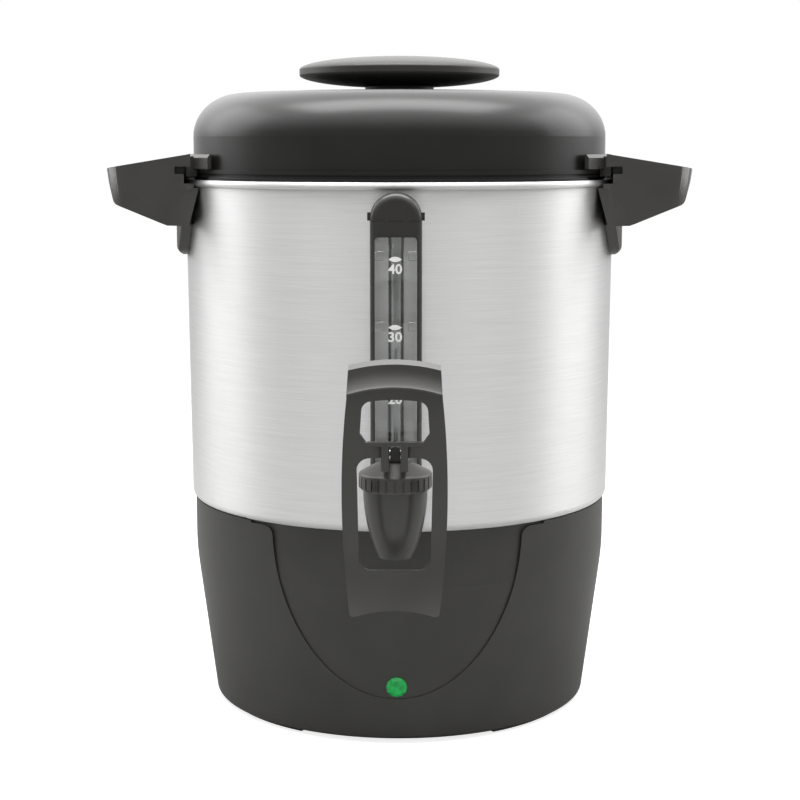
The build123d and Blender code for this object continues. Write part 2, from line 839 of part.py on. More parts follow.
terminal_low_z = base_edge_z + cover_t
with BuildPart() as terminal_block:
    with BuildSketch(Plane.XY.offset(terminal_low_z)):
        with Locations((0, terminal_place_y)):
            Rectangle(terminal_x, terminal_y)
    extrude(amount=terminal_z)
    chamfer(edges().filter_by(Axis.X).group_by(Axis.Z)[-1], 2)
    # Screw wells of the three ways
    with BuildSketch(Plane.XY.offset(terminal_low_z + terminal_z)):
        with Locations((0, terminal_place_y)):
            with GridLocations(terminal_x / 3, 0, 3, 1):
                Circle(2.3)
    extrude(amount=-5, mode=Mode.SUBTRACT)
finish(terminal_block.part, "terminal_block")

with BuildPart() as heater_wires:
    # Two leads from the outer ways of the block up to the thermostat's blades
    for side in (-1, 1):
        way_x = side * terminal_x / 3
        blade_x = side * 4.5
        blade_z = thermostat_low_z - 7
        rise_z = terminal_low_z + terminal_z + 30
        with BuildLine() as route:
            FilletPolyline(
                (way_x, terminal_place_y, terminal_low_z + terminal_z - 5),
                (way_x, terminal_place_y, rise_z),
                (blade_x, 0, rise_z + 12),
                (blade_x, 0, blade_z),
                radius=11,
            )
        with BuildSketch(Plane(route.line @ 0, z_dir=route.line % 0)):
            Circle(wire_r)
        sweep(path=route.line)
finish(heater_wires.part, "heater_wires")

with BuildPart() as lamp_wires:
    # Two leads from the lamp down to the floor plate and over to the middle way
    bulb_end = (lens_plane.offset(-2.0 - bulb_length)).origin
    floor_run_z = terminal_low_z + wire_r + touch_gap
    for side in (-1, 1):
        wire_x = side * 1.2
        with BuildLine() as route:
            FilletPolyline(
                (wire_x, bulb_end.Y, bulb_end.Z),
                (wire_x, bulb_end.Y + 18, bulb_end.Z + 18 * sin(radians(-lamp_lean))),
                (wire_x, bulb_end.Y + 42, floor_run_z),
                (wire_x, terminal_place_y - 34, floor_run_z),
                (wire_x, terminal_place_y - 20, floor_run_z + 24),
                (wire_x, terminal_place_y, floor_run_z + 24),
                (wire_x, terminal_place_y, terminal_low_z + terminal_z - 5),
                radius=7,
            )
        with BuildSketch(Plane(route.line @ 0, z_dir=route.line % 0)):
            Circle(wire_r - 0.2)
        sweep(path=route.line)
finish(lamp_wires.part, "lamp_wires")

# ---------------------------------------------------------------- handles
def handle_top(x):
    """Height of the handle's sloping top face."""
    return handle_tip_z + handle_top_slope * (handle_tip_x - x)


handle_side_slope = (handle_root_y - handle_tip_y) / (handle_tip_corner_x - handle_root_x)
handle_inner_x = handle_root_x - hood_overrun
handle_inner_y = handle_root_y + handle_side_slope * hood_overrun
bracket_out_r = vessel_rim_r + bracket_t

with BuildPart() as handle_pocket:
    # Finger space under the hood, open below
    with BuildSketch(Plane.XZ.offset(-handle_inner_y)):
        with BuildLine():
            pocket_tip_x = handle_tip_x - handle_wall
            pocket_low_x = handle_low_x - handle_wall
            Polyline(
                (handle_inner_x, bracket_low_z - 10),
                (handle_inner_x, handle_top(handle_inner_x) - handle_roof),
                (pocket_tip_x, handle_top(pocket_tip_x) - handle_roof),
                (pocket_low_x, handle_low_z),
                (pocket_low_x, bracket_low_z - 10),
                close=True,
            )
        make_face()
    extrude(amount=2 * handle_inner_y)
    with BuildSketch(Plane.XY.offset(bracket_low_z - 20)):
        with BuildLine():
            inner_tip_y = handle_tip_y - handle_wall
            inner_corner_x = handle_tip_corner_x - handle_wall
            Polyline(
                (inner_corner_x, -inner_tip_y),
                (handle_inner_x, -handle_inner_y + handle_wall),
                (handle_inner_x, handle_inner_y - handle_wall),
                (inner_corner_x, inner_tip_y),
            )
            ThreePointArc(
                (inner_corner_x, inner_tip_y),
                (handle_tip_x - handle_wall, 0),
                (inner_corner_x, -inner_tip_y),
            )
        make_face()
        fillet(vertices().group_by(Axis.X)[-1], 9)
    extrude(amount=80, mode=Mode.INTERSECT)
    with BuildSketch(Plane.XY.offset(bracket_low_z - 20)):
        Circle(bracket_out_r)
    extrude(amount=bracket_high_z - 4 - (bracket_low_z - 20), mode=Mode.SUBTRACT)
    with BuildSketch(Plane.XY.offset(bracket_high_z - 4)):
        Circle(pocket_high_r)
    extrude(amount=40, mode=Mode.SUBTRACT)

with BuildPart() as handle_bracket:
    # Shield-shaped plate on the vessel's wall, with the leg below the hood
    with BuildSketch(radial_plane(-40)):
        with BuildLine():
            Polyline(
                (handle_root_x, bracket_low_z),
                (bracket_out_r, bracket_low_z),
                (bracket_out_r, bracket_high_z + 4),
                (handle_root_x, bracket_high_z + 4),
                close=True,
            )
        make_face()
        fillet(vertices().sort_by_distance((bracket_out_r, bracket_low_z))[0], 4.6)
    revolve(axis=Axis.Z, revolution_arc=80)
    with BuildSketch(Plane.YZ.offset(handle_root_x / 2)):
        with BuildLine():
            Polyline(
                (-handle_root_y, bracket_high_z + 4),
                (-handle_root_y, bracket_high_z),
                (-bracket_mid_y, bracket_mid_z),
                (-bracket_low_y, bracket_low_z),
                (bracket_low_y, bracket_low_z),
                (bracket_mid_y, bracket_mid_z),
                (handle_root_y, bracket_high_z),
                (handle_root_y, bracket_high_z + 4),
                close=True,
            )
        make_face()
        fillet(vertices().group_by(Axis.Y)[0], bracket_corner_r)
    extrude(amount=handle_root_x, mode=Mode.INTERSECT)

with BuildPart() as handle_right:
    with BuildSketch(Plane.XZ.offset(-handle_inner_y)):
        with BuildLine():
            Polyline(
                (handle_inner_x, handle_under_z - 1),
                (handle_inner_x, handle_top(handle_inner_x)),
                (handle_tip_x, handle_tip_z),
                (handle_low_x, handle_low_z),
                (handle_under_x, handle_under_z),
                (bracket_out_r - 1, handle_under_z - 1),
                close=True,
            )
        make_face()
        fillet(vertices().sort_by_distance((handle_tip_x, handle_tip_z))[0], 3.2)
        fillet(vertices().sort_by_distance((handle_low_x, handle_low_z))[0], 5.0)
    extrude(amount=2 * handle_inner_y)
    with BuildSketch(Plane.XY.offset(bracket_low_z - 10)):
        with BuildLine():
            Polyline(
                (handle_tip_corner_x, -handle_tip_y),
                (handle_inner_x, -handle_inner_y),
                (handle_inner_x, handle_inner_y),
                (handle_tip_corner_x, handle_tip_y),
            )
            ThreePointArc(
                (handle_tip_corner_x, handle_tip_y),
                (handle_tip_x, 0),
                (handle_tip_corner_x, -handle_tip_y),
            )
        make_face()
        fillet(vertices().group_by(Axis.X)[-1], 12)
    extrude(amount=80, mode=Mode.INTERSECT)
    add(handle_pocket.part, mode=Mode.SUBTRACT)
    add(handle_bracket.part)
    add(vessel_skin.part, mode=Mode.SUBTRACT)
    # Room for the rim and the lid, the catch's seat and the slot for its tongue
    with BuildSketch(radial_plane(-60)):
        with BuildLine():
            rim_room_r = bead_centre_r + rim_bead_r + run_gap
            catch_seat_r = catch_out_r + 0.3
            Polyline(
                (handle_inner_x - 10, vessel_rim_z - 0.5),
                (rim_room_r, vessel_rim_z - 0.5),
                (rim_room_r, rim_recess_low_z),
                (rim_recess_r, rim_recess_low_z),
                (rim_recess_r, catch_slot_z),
                (catch_slot_r, catch_slot_z),
                (catch_slot_r, catch_slot_z + catch_slot_h),
                (catch_seat_r, catch_slot_z + catch_slot_h),
                (catch_seat_r, vessel_rim_z + 40),
                (handle_inner_x - 10, vessel_rim_z + 40),
                close=True,
            )
        make_face()
    revolve(axis=Axis.Z, revolution_arc=120, mode=Mode.SUBTRACT)
    # Screw holes, with a hexagonal seat for each nut on the outside
    for screw_angle, screw_z in handle_screw_places:
        with BuildSketch(wall_plane(screw_angle, vessel_rim_r - 4, screw_z)):
            Circle(handle_screw_r + pin_gap)
        extrude(amount=12, mode=Mode.SUBTRACT)
        with BuildSketch(wall_plane(screw_angle, bracket_out_r - handle_nut_t - touch_gap, screw_z)):
            RegularPolygon(handle_nut_r + touch_gap, 6)
        extrude(amount=6, mode=Mode.SUBTRACT)
finish(handle_right.part, "handle_right")

with BuildPart() as handle_left:
    mirror(handle_right.part, about=Plane.YZ)
finish(handle_left.part, "handle_left")

with BuildPart() as lid_catch_right:
    # Block behind the lid's skirt, inner lip over the lid's flange, horns, and the tongue
    with BuildSketch(radial_plane(-catch_half_angle)):
        with BuildLine():
            Polyline(
                (catch_in_r, catch_low_z),
                (catch_out_r, catch_low_z),
                (catch_out_r, catch_high_z),
                (catch_in_r, catch_high_z),
                close=True,
            )
        make_face()
    revolve(axis=Axis.Z, revolution_arc=2 * catch_half_angle)
    with BuildSketch(radial_plane(-catch_half_angle + 1.5)):
        with BuildLine():
            Polyline(
                (catch_out_r - 1, catch_slot_z),
                (tongue_out_r, catch_slot_z),
                (tongue_out_r, catch_slot_z + tongue_h),
                (catch_out_r - 1, catch_slot_z + tongue_h),
                close=True,
            )
        make_face()
    revolve(axis=Axis.Z, revolution_arc=2 * (catch_half_angle - 1.5))
    with BuildSketch(radial_plane(-lip_half_angle)):
        with BuildLine():
            Polyline(
                (lip_in_r, lip_low_z),
                (catch_in_r + 1, lip_low_z),
                (catch_in_r + 1, lip_high_z - 1.4),
                (catch_in_r + 0.2, lip_high_z),
                (lip_in_r, lip_high_z),
                close=True,
            )
        make_face()
    revolve(axis=Axis.Z, revolution_arc=2 * lip_half_angle)
    with BuildSketch(radial_plane(-horn_half_angle)):
        with BuildLine():
            Polyline(
                (catch_in_r, lip_low_z),
                (horn_out_r, lip_low_z),
                (horn_out_r, lip_high_z - 1.8),
                (horn_out_r - 1.4, lip_high_z),
                (catch_in_r, lip_high_z),
                close=True,
            )
        make_face()
    revolve(axis=Axis.Z, revolution_arc=2 * horn_half_angle)
finish(lid_catch_right.part, "lid_catch_right")

with BuildPart() as lid_catch_left:
    mirror(lid_catch_right.part, about=Plane.YZ)
finish(lid_catch_left.part, "lid_catch_left")

with BuildPart() as handle_screws:
    # Driven from inside the vessel, above the highest fill mark
    for side_angle in (0, 180):
        for screw_angle, screw_z in handle_screw_places:
            lining_r = vessel_radius(screw_z) - vessel_wall - touch_gap
            if side_angle == 0:
                head_plane = wall_plane(screw_angle, lining_r, screw_z)
            else:
                head_plane = wall_plane(180 - screw_angle, lining_r, screw_z)
            with BuildSketch(head_plane):
                Circle(handle_screw_head_r)
            extrude(amount=-handle_screw_head_t, taper=20)
            with BuildSketch(head_plane.offset(-0.2)):
                Circle(handle_screw_r)
            extrude(amount=bracket_out_r - lining_r)
finish(handle_screws.part, "handle_screws")

with BuildPart() as handle_nuts:
    for side_angle in (0, 180):
        for screw_angle, screw_z in handle_screw_places:
            with BuildSketch(wall_plane(side_angle + screw_angle, bracket_out_r - handle_nut_t, screw_z)):
                RegularPolygon(handle_nut_r, 6)
                Circle(handle_screw_r + pin_gap, mode=Mode.SUBTRACT)
            extrude(amount=handle_nut_t)
finish(handle_nuts.part, "handle_nuts")

# ---------------------------------------------------------------- sight gauge
with BuildPart() as gauge_cover:
    # Channel over the sight tube, with the window opening in its front
    gauge_inner_half = gauge_half_width - gauge_wall
    gauge_inner_y = gauge_front_y - gauge_wall
    with BuildSketch(Plane.XY.offset(gauge_low_z)):
        with Locations((0, -0.85 * gauge_front_y)):
            Rectangle(2 * gauge_half_width, 0.3 * gauge_front_y)
        fillet(vertices().group_by(Axis.Y)[0], gauge_corner_r)
        with Locations((0, -0.85 * gauge_inner_y)):
            Rectangle(2 * gauge_inner_half, 0.3 * gauge_inner_y, mode=Mode.SUBTRACT)
    extrude(amount=gauge_seam_z - gauge_low_z)
    add(vessel_skin.part, mode=Mode.SUBTRACT)
    with BuildSketch(Plane.XZ.offset(gauge_front_y + 2)):
        with Locations((0, 0.5 * (window_low_z + window_high_z))):
            RectangleRounded(2 * window_half_width, window_high_z - window_low_z, window_corner_r)
    extrude(amount=-(gauge_wall + 3), mode=Mode.SUBTRACT)
finish(gauge_cover.part, "gauge_cover")

with BuildPart() as gauge_window:
    # Clear pane with a bowed front, and four square clips behind its edges
    pane_half = window_half_width - touch_gap
    pane_edge_y = gauge_front_y + 0.1
    with BuildSketch(Plane.XY.offset(window_low_z + touch_gap)):
        with BuildLine():
            Polyline(
                (-pane_half, -pane_edge_y),
                (-pane_half, -pane_edge_y + window_t),
                (pane_half, -pane_edge_y + window_t),
                (pane_half, -pane_edge_y),
            )
            ThreePointArc(
                (pane_half, -pane_edge_y), (0, -pane_edge_y - window_bulge), (-pane_half, -pane_edge_y)
            )
        make_face()
    extrude(amount=window_high_z - window_low_z - 2 * touch_gap)
    with BuildSketch(Plane.XZ.offset(gauge_front_y - 5)):
        with Locations((0, 0.5 * (window_low_z + window_high_z))):
            RectangleRounded(2 * pane_half, window_high_z - window_low_z - 0.2, window_corner_r)
    extrude(amount=12, mode=Mode.INTERSECT)
    with BuildSketch(Plane.XZ.offset(pane_edge_y - window_t)):
        for clip_z in (window_clip_low_z, window_clip_high_z):
            with Locations((0, clip_z)):
                with GridLocations(2 * (pane_half - window_clip / 2), 0, 2, 1):
                    RectangleRounded(window_clip, window_clip, 0.5)
    extrude(amount=-2.2)
finish(gauge_window.part, "gauge_window")

with BuildPart() as gauge_tube:
    with BuildSketch(Plane.XY.offset(tube_low_z)):
        with Locations((0, -gauge_y)):
            Circle(tube_r)
            Circle(tube_r - tube_wall, mode=Mode.SUBTRACT)
    extrude(amount=tube_high_z - tube_low_z)
finish(gauge_tube.part, "gauge_tube")

seal_low_z = tube_low_z + 1.2
seal_high_z = tube_high_z - seal_h - 0.5
with BuildPart() as gauge_seals:
    # Grommets round both ends of the tube
    for seal_z in (seal_low_z, seal_high_z):
        with BuildSketch(Plane.XY.offset(seal_z)):
            with Locations((0, -gauge_y)):
                Circle(seal_r)
                Circle(tube_r + pin_gap, mode=Mode.SUBTRACT)
        extrude(amount=seal_h)
finish(gauge_seals.part, "gauge_seals")

with BuildPart() as gauge_cap:
    # Domed top with a socket for the tube, two side nubs and a peg through the vessel's wall
    cap_low_z = gauge_seam_z + 0.15
    cap_spring_z = gauge_top_z - gauge_half_width
    with BuildSketch(Plane.XZ.offset(gauge_front_y)):
        with BuildLine():
            Polyline(
                (-gauge_half_width, cap_spring_z),
                (-gauge_half_width, cap_low_z),
                (gauge_half_width, cap_low_z),
                (gauge_half_width, cap_spring_z),
            )
            ThreePointArc(
                (gauge_half_width, cap_spring_z), (0, gauge_top_z), (-gauge_half_width, cap_spring_z)
            )
        make_face()
    extrude(amount=-(gauge_front_y - handle_root_x))
    front_edges = faces().sort_by(Axis.Y)[0].edges()
    fillet([e for e in front_edges if e.center().Z > cap_low_z + 0.2], cap_round)
    with BuildSketch(Plane.XZ.offset(gauge_front_y - cap_round)):
        with Locations((0, cap_low_z + cap_nub_h / 2)):
            Rectangle(2 * (gauge_half_width + cap_nub_out), cap_nub_h)
    extrude(amount=-3)
    add(vessel_skin.part, mode=Mode.SUBTRACT)
    with BuildSketch(Plane.XY.offset(cap_low_z)):
        with Locations((0, -gauge_y)):
            Circle(seal_r + touch_gap)
    extrude(amount=tube_high_z + 0.5 - cap_low_z, mode=Mode.SUBTRACT)
    peg_inner_y = vessel_radius(cap_peg_z) - vessel_wall - 5
    with BuildSketch(Plane.XZ.offset(vessel_radius(cap_peg_z) + 1)):
        with Locations((0, cap_peg_z)):
            Circle(cap_peg_r)
    extrude(amount=-(vessel_radius(cap_peg_z) + 1 - peg_inner_y))
finish(gauge_cap.part, "gauge_cap")

with BuildPart() as gauge_push_nut:
    nut_y = vessel_radius(cap_peg_z) - vessel_wall - clip_gap
    with BuildSketch(Plane.XZ.offset(nut_y)):
        with Locations((0, cap_peg_z)):
            Circle(push_nut_r)
            Circle(cap_peg_r + pin_gap, mode=Mode.SUBTRACT)
            with PolarLocations(cap_peg_r + 0.7, 3):
                Rectangle(2.0, 0.8, mode=Mode.SUBTRACT)
    extrude(amount=-1.0)
finish(gauge_push_nut.part, "gauge_push_nut")

# ---------------------------------------------------------------- tap
tap_axis = Plane(origin=(0, -tap_reach, 0))
tap_section = Plane(origin=(0, -tap_reach, 0), x_dir=(1, 0, 0), z_dir=(0, -1, 0))
tap_line = Axis((0, -tap_reach, 0), (0, 0, 1))
tap_flange_y = vessel_radius(shank_z) + tap_washer_t
inner_washer_y = vessel_radius(shank_z) - vessel_wall - tap_washer_t

with BuildPart() as tap_body:
    # Barrel that narrows to the spout
    with BuildSketch(tap_section):
        with BuildLine():
            barrel_mid_z = spout_z + 0.4 * (barrel_top_z - spout_z)
            barrel_mid_r = spout_r + 0.65 * (barrel_r - spout_r)
            Polyline(
                (barrel_r, barrel_top_z),
                (collar_r, barrel_top_z),
                (collar_r, collar_top_z),
                (0, collar_top_z),
                (0, spout_z),
                (spout_r, spout_z),
            )
            ThreePointArc((spout_r, spout_z), (barrel_mid_r, barrel_mid_z), (barrel_r, barrel_top_z))
        make_face()
    revolve(axis=tap_line)
    # Neck, flange and shank
    with BuildSketch(Plane.XZ.offset(tap_reach)):
        with Locations((0, shank_z)):
            Circle(neck_r)
    extrude(amount=-(tap_reach - tap_flange_y))
    with BuildSketch(Plane.XZ.offset(tap_flange_y)):
        with Locations((0, shank_z)):
            Circle(tap_flange_r)
    extrude(amount=tap_flange_t)
    with BuildSketch(Plane.XZ.offset(tap_flange_y)):
        with Locations((0, shank_z)):
            Circle(shank_r)
    extrude(amount=-(tap_flange_y - shank_inner_y))
    # Socket of the sight tube, trimmed flush with the flange
    with BuildSketch(Plane.XY.offset(shank_z)):
        with Locations((0, -gauge_y)):
            Circle(socket_r)
        with Locations((0, -tap_flange_y + 10)):
            Rectangle(4 * socket_r, 20, mode=Mode.SUBTRACT)
    extrude(amount=socket_top_z - shank_z)
    # Chamber, outlet, waterway and the sight tube's bore
    with BuildSketch(tap_axis.offset(seat_z)):
        Circle(chamber_r)
    extrude(amount=collar_top_z - seat_z, mode=Mode.SUBTRACT)
    with BuildSketch(tap_axis.offset(spout_z)):
        Circle(spout_bore_r)
    extrude(amount=seat_z - spout_z, mode=Mode.SUBTRACT)
    with BuildSketch(Plane.XZ.offset(tap_reach - chamber_r + 2)):
        with Locations((0, shank_z)):
            Circle(shank_bore_r)
    extrude(amount=-(tap_reach - chamber_r + 2 - shank_inner_y), mode=Mode.SUBTRACT)
    with BuildSketch(Plane.XY.offset(shank_z)):
        with Locations((0, -gauge_y)):
            Circle(socket_bore_r)
    extrude(amount=socket_top_z - shank_z, mode=Mode.SUBTRACT)
    with BuildSketch(Plane.XY.offset(tube_low_z - touch_gap)):
        with Locations((0, -gauge_y)):
            Circle(tube_r + touch_gap)
    extrude(amount=socket_top_z - tube_low_z + touch_gap, mode=Mode.SUBTRACT)
    with BuildSketch(Plane.XY.offset(seal_low_z)):
        with Locations((0, -gauge_y)):
            Circle(seal_r)
    extrude(amount=socket_top_z - seal_low_z, mode=Mode.SUBTRACT)
finish(tap_body.part, "tap_body")

with BuildPart() as tap_washer_outer:
    with BuildSketch(Plane.XZ.offset(tap_flange_y)):
        with Locations((0, shank_z)):
            Circle(tap_flange_r)
            Circle(shank_r + touch_gap, mode=Mode.SUBTRACT)
    extrude(amount=-tap_washer_t - 2)
    add(vessel_skin.part, mode=Mode.SUBTRACT)
finish(tap_washer_outer.part, "tap_washer_outer")

with BuildPart() as tap_washer_inner:
    with BuildSketch(Plane.XZ.offset(inner_washer_y)):
        with Locations((0, shank_z)):
            Circle(tap_flange_r)
            Circle(shank_r + touch_gap, mode=Mode.SUBTRACT)
    extrude(amount=tap_washer_t + 2)
    add(vessel_lining.part, mode=Mode.INTERSECT)
finish(tap_washer_inner.part, "tap_washer_inner")

with BuildPart() as tap_shank_nut:
    with BuildSketch(Plane.XZ.offset(inner_washer_y)):
        with Locations((0, shank_z)):
            RegularPolygon(shank_nut_r, 6)
            Circle(shank_r + touch_gap, mode=Mode.SUBTRACT)
    extrude(amount=-shank_nut_t)
finish(tap_shank_nut.part, "tap_shank_nut")

with BuildPart() as tap_bonnet:
    # Screw cap with a grooved band, a conical roof and the guide hole of the stem
    with BuildSketch(tap_section):
        with BuildLine():
            stem_hole_r = stem_r + run_gap
            Polyline(
                (bonnet_flat_r, bonnet_top_z),
                (stem_hole_r, bonnet_top_z),
                (stem_hole_r, bonnet_top_z - bonnet_roof),
                (bonnet_bore_r, bonnet_top_z - bonnet_roof),
                (chamber_r, collar_top_z),
                (collar_r + touch_gap, collar_top_z),
                (collar_r + touch_gap, bonnet_low_z),
                (bonnet_r - bonnet_edge_w, bonnet_low_z),
                (bonnet_r, bonnet_low_z + bonnet_edge_w),
                (bonnet_r, bonnet_band_z),
                close=True,
            )
        make_face()
        fillet(vertices().sort_by_distance((bonnet_r, bonnet_band_z))[0], bonnet_edge_w)
    revolve(axis=tap_line)
    with BuildSketch(tap_axis.offset(bonnet_low_z)):
        with PolarLocations(bonnet_r, bonnet_groove_count):
            Rectangle(2 * bonnet_groove_depth, bonnet_groove_w)
    extrude(amount=bonnet_band_z - bonnet_edge_w - bonnet_low_z, mode=Mode.SUBTRACT)
finish(tap_bonnet.part, "tap_bonnet")

cup_low_z = seat_z + run_gap
with BuildPart() as tap_stem:
    with BuildSketch(tap_axis.offset(cup_low_z + 3)):
        Circle(stem_r)
    extrude(amount=pin_z - 3 - cup_low_z - 3)
    # Arched post that the handle's pin passes through
    with BuildSketch(tap_section.offset(-post_half_depth)):
        with BuildLine():
            post_low_z = bonnet_top_z + run_gap
            Polyline(
                (-post_half_width, post_top_z - post_half_width),
                (-post_half_width, post_low_z),
                (post_half_width, post_low_z),
                (post_half_width, post_top_z - post_half_width),
            )
            ThreePointArc(
                (post_half_width, post_top_z - post_half_width),
                (0, post_top_z),
                (-post_half_width, post_top_z - post_half_width),
            )
        make_face()
    extrude(amount=2 * post_half_depth)
    with BuildSketch(Plane.YZ.offset(-post_half_width - 1)):
        with Locations((-tap_reach, pin_z)):
            Circle(tap_pin_r + pin_gap)
    extrude(amount=2 * post_half_width + 2, mode=Mode.SUBTRACT)
finish(tap_stem.part, "tap_stem")

with BuildPart() as tap_seat_cup:
    # Soft cup on the stem's end: a domed sealing face below, hollow above
    with BuildSketch(tap_section):
        with BuildLine():
            cup_bottom = (spout_bore_r + 1.2, cup_low_z)
            Polyline(
                cup_bottom,
                (0, cup_low_z),
                (0, cup_low_z + 3 - touch_gap),
                (stem_r + pin_gap, cup_low_z + 3 - touch_gap),
                (stem_r + pin_gap, cup_low_z + 6),
                (cup_r - 1.2, cup_low_z + 7),
                (cup_r - 1.2, cup_low_z + cup_h),
                (cup_r, cup_low_z + cup_h),
                (cup_r, cup_low_z + 3),
            )
            Line((cup_r, cup_low_z + 3), cup_bottom)
        make_face()
    revolve(axis=tap_line)
finish(tap_seat_cup.part, "tap_seat_cup")

with BuildPart() as tap_handle:
    # Side view of the loop below its top bar: straight arms and a paddle that flares forwards
    arm_back_y = loop_y - loop_t
    with BuildSketch(Plane.YZ.offset(-40)):
        with BuildLine():
            arm_top = (-loop_y, loop_lip_z)
            arm_low = (-loop_y, paddle_top_z + 12)
            paddle_front = (-loop_paddle_y, loop_low_corner_z - 1)
            paddle_back = (-loop_paddle_y + loop_t * 0.9, loop_low_corner_z - 1)
            back_low = (-arm_back_y, paddle_top_z + 12)
            back_top = (-arm_back_y, loop_lip_z)
            Line(arm_top, arm_low)
            TangentArc(arm_low, paddle_front, tangent=(0, -1))
            Line(paddle_front, paddle_back)
            ThreePointArc(paddle_back, (-arm_back_y - 2.0, loop_low_corner_z + 17), back_low)
            Polyline(back_low, back_top, arm_top)
        make_face()
    extrude(amount=80)
    # Top bar bent to an arc: bevelled crest, hollow front and a lip along its lower edge
    bend_z = loop_top_z - loop_bend_r
    bend_start = radians(loop_bend_half_angle)
    bend_plane = Plane(origin=(0, 0, bend_z), x_dir=(0, 1, 0), z_dir=(cos(bend_start), 0, sin(bend_start)))
    with BuildSketch(bend_plane):
        with BuildLine():
            crest = (-loop_y + 2.0, loop_bend_r)
            bevel_low = (-loop_y + 2.0 - loop_bevel_depth, loop_bend_r - loop_bevel_h)
            lip_top = (-loop_bar_y, loop_lip_z - bend_z)
            lip_low = (-loop_bar_y + 0.2, loop_lip_z - loop_lip_t - bend_z)
            hollow = (-0.5 * (loop_y + loop_bar_y) + 0.8, 0.5 * (bevel_low[1] + lip_top[1]))
            Line(crest, bevel_low)
            ThreePointArc(bevel_low, hollow, lip_top)
            Polyline(
                lip_top,
                lip_low,
                (-loop_y + 0.5, loop_bar_z - bend_z),
                (-arm_back_y, loop_bar_z - bend_z),
                (-arm_back_y + 2.0, loop_bend_r - 3.0),
                crest,
            )
        make_face()
    revolve(axis=Axis((0, 0, bend_z), (0, 1, 0)), revolution_arc=2 * loop_bend_half_angle)
    # Front view: outline with an arched lower edge, windows and the slot for the stem's post
    with BuildSketch(Plane.XZ.offset(arm_back_y - 10)):
        with BuildLine():
            Polyline(
                (-loop_bar_half, loop_shoulder_z),
                (-loop_top_half, loop_top_z + 1),
                (loop_top_half, loop_top_z + 1),
                (loop_bar_half, loop_shoulder_z),
            )
            ThreePointArc(
                (loop_bar_half, loop_shoulder_z), (loop_mid_half, loop_mid_z), (loop_low_half, loop_low_corner_z)
            )
            ThreePointArc(
                (loop_low_half, loop_low_corner_z), (0, loop_low_z), (-loop_low_half, loop_low_corner_z)
            )
            ThreePointArc(
                (-loop_low_half, loop_low_corner_z), (-loop_mid_half, loop_mid_z), (-loop_bar_half, loop_shoulder_z)
            )
        make_face()
        fillet(vertices().filter_by(lambda v: v.Y < loop_mid_z), 2.0)
    extrude(amount=40, mode=Mode.INTERSECT)
    with BuildSketch(Plane.XZ.offset(arm_back_y - 10)):
        with BuildLine():
            upper = upper_window_half
            upper_corner_z = upper_window_high_z - upper_window_arch
            Polyline(
                (upper - 1, upper_corner_z),
                (upper, crossbar_high_z + upper_window_cut_h),
                (upper - upper_window_cut_w, crossbar_high_z),
                (-upper + upper_window_cut_w, crossbar_high_z),
                (-upper, crossbar_high_z + upper_window_cut_h),
                (-upper + 1, upper_corner_z),
            )
            ThreePointArc((-upper + 1, upper_corner_z), (0, upper_window_high_z), (upper - 1, upper_corner_z))
        make_face()
        window_corners = vertices().group_by(Axis.Y)
        fillet(window_corners[-1], 5.0)
        fillet(window_corners[0] + window_corners[1], 1.2)
    extrude(amount=40, mode=Mode.SUBTRACT)
    with BuildSketch(Plane.XZ.offset(arm_back_y - 10)):
        with BuildLine():
            Polyline(
                (-lower_window_top_half, crossbar_low_z),
                (lower_window_top_half, crossbar_low_z),
                (lower_window_low_half, paddle_top_z),
                (-lower_window_low_half, paddle_top_z),
                close=True,
            )
        make_face()
        fillet(vertices(), 6.0)
        with Locations((0, crossbar_low_z)):
            Rectangle(2 * cheek_in_x, 2 * (crossbar_high_z - post_slot_edge_h - crossbar_low_z))
    extrude(amount=40, mode=Mode.SUBTRACT)
    # Beside the fork the crossbar's front falls back
    with BuildSketch(Plane.XY.offset(crossbar_low_z - 1)):
        for side in (-1, 1):
            with BuildLine():
                Polyline(
                    (side * crossbar_recess_x, -loop_y),
                    (side * cheek_in_x, -loop_y - 1),
                    (side * cheek_in_x, -loop_y + crossbar_recess_depth),
                    (side * cheek_out_x, -loop_y + crossbar_recess_depth),
                    close=True,
                )
            make_face()
    extrude(amount=crossbar_high_z - crossbar_edge_h - crossbar_low_z + 1, mode=Mode.SUBTRACT)
    # Lower the back of the opening's lower edge, so that it swings clear below the spout
    with BuildSketch(Plane.YZ.offset(-lower_window_low_half + 3)):
        with BuildLine():
            Polyline(
                (-loop_y + 1.0, paddle_top_z + 1),
                (-loop_y + 1.0, paddle_top_z),
                (-arm_back_y + 1.0, paddle_top_z - 4.5),
                (-arm_back_y + 1.0, paddle_top_z + 1),
                close=True,
            )
        make_face()
    extrude(amount=2 * (lower_window_low_half - 3), mode=Mode.SUBTRACT)
    # Fork: two cheeks from the crossbar back to the pin
    for cheek_x in (-cheek_out_x, cheek_in_x):
        with BuildSketch(Plane.YZ.offset(cheek_x)):
            with BuildLine():
                Polyline(
                    (-loop_y + 0.5, crossbar_high_z - 0.5),
                    (-loop_y + 0.5, cheek_nose_z),
                    (-tap_reach - 16.6, cheek_nose_z),
                    (-tap_reach - 13.0, pin_z - cheek_eye_r),
                    (-tap_reach, pin_z - cheek_eye_r),
                    (-tap_reach, pin_z + cheek_eye_r),
                    (-arm_back_y + 1.0, crossbar_high_z - 0.5),
                    close=True,
                )
            make_face()
            with Locations((-tap_reach, pin_z)):
                Circle(cheek_eye_r)
                Circle(tap_pin_r + pin_gap, mode=Mode.SUBTRACT)
        extrude(amount=cheek_out_x - cheek_in_x)
finish(tap_handle.part, "tap_handle")

with BuildPart() as tap_handle_pin:
    with BuildSketch(Plane.YZ.offset(-cheek_out_x - 0.4)):
        with Locations((-tap_reach, pin_z)):
            Circle(tap_pin_r)
    extrude(amount=2 * (cheek_out_x + 0.4))
finish(tap_handle_pin.part, "tap_handle_pin")

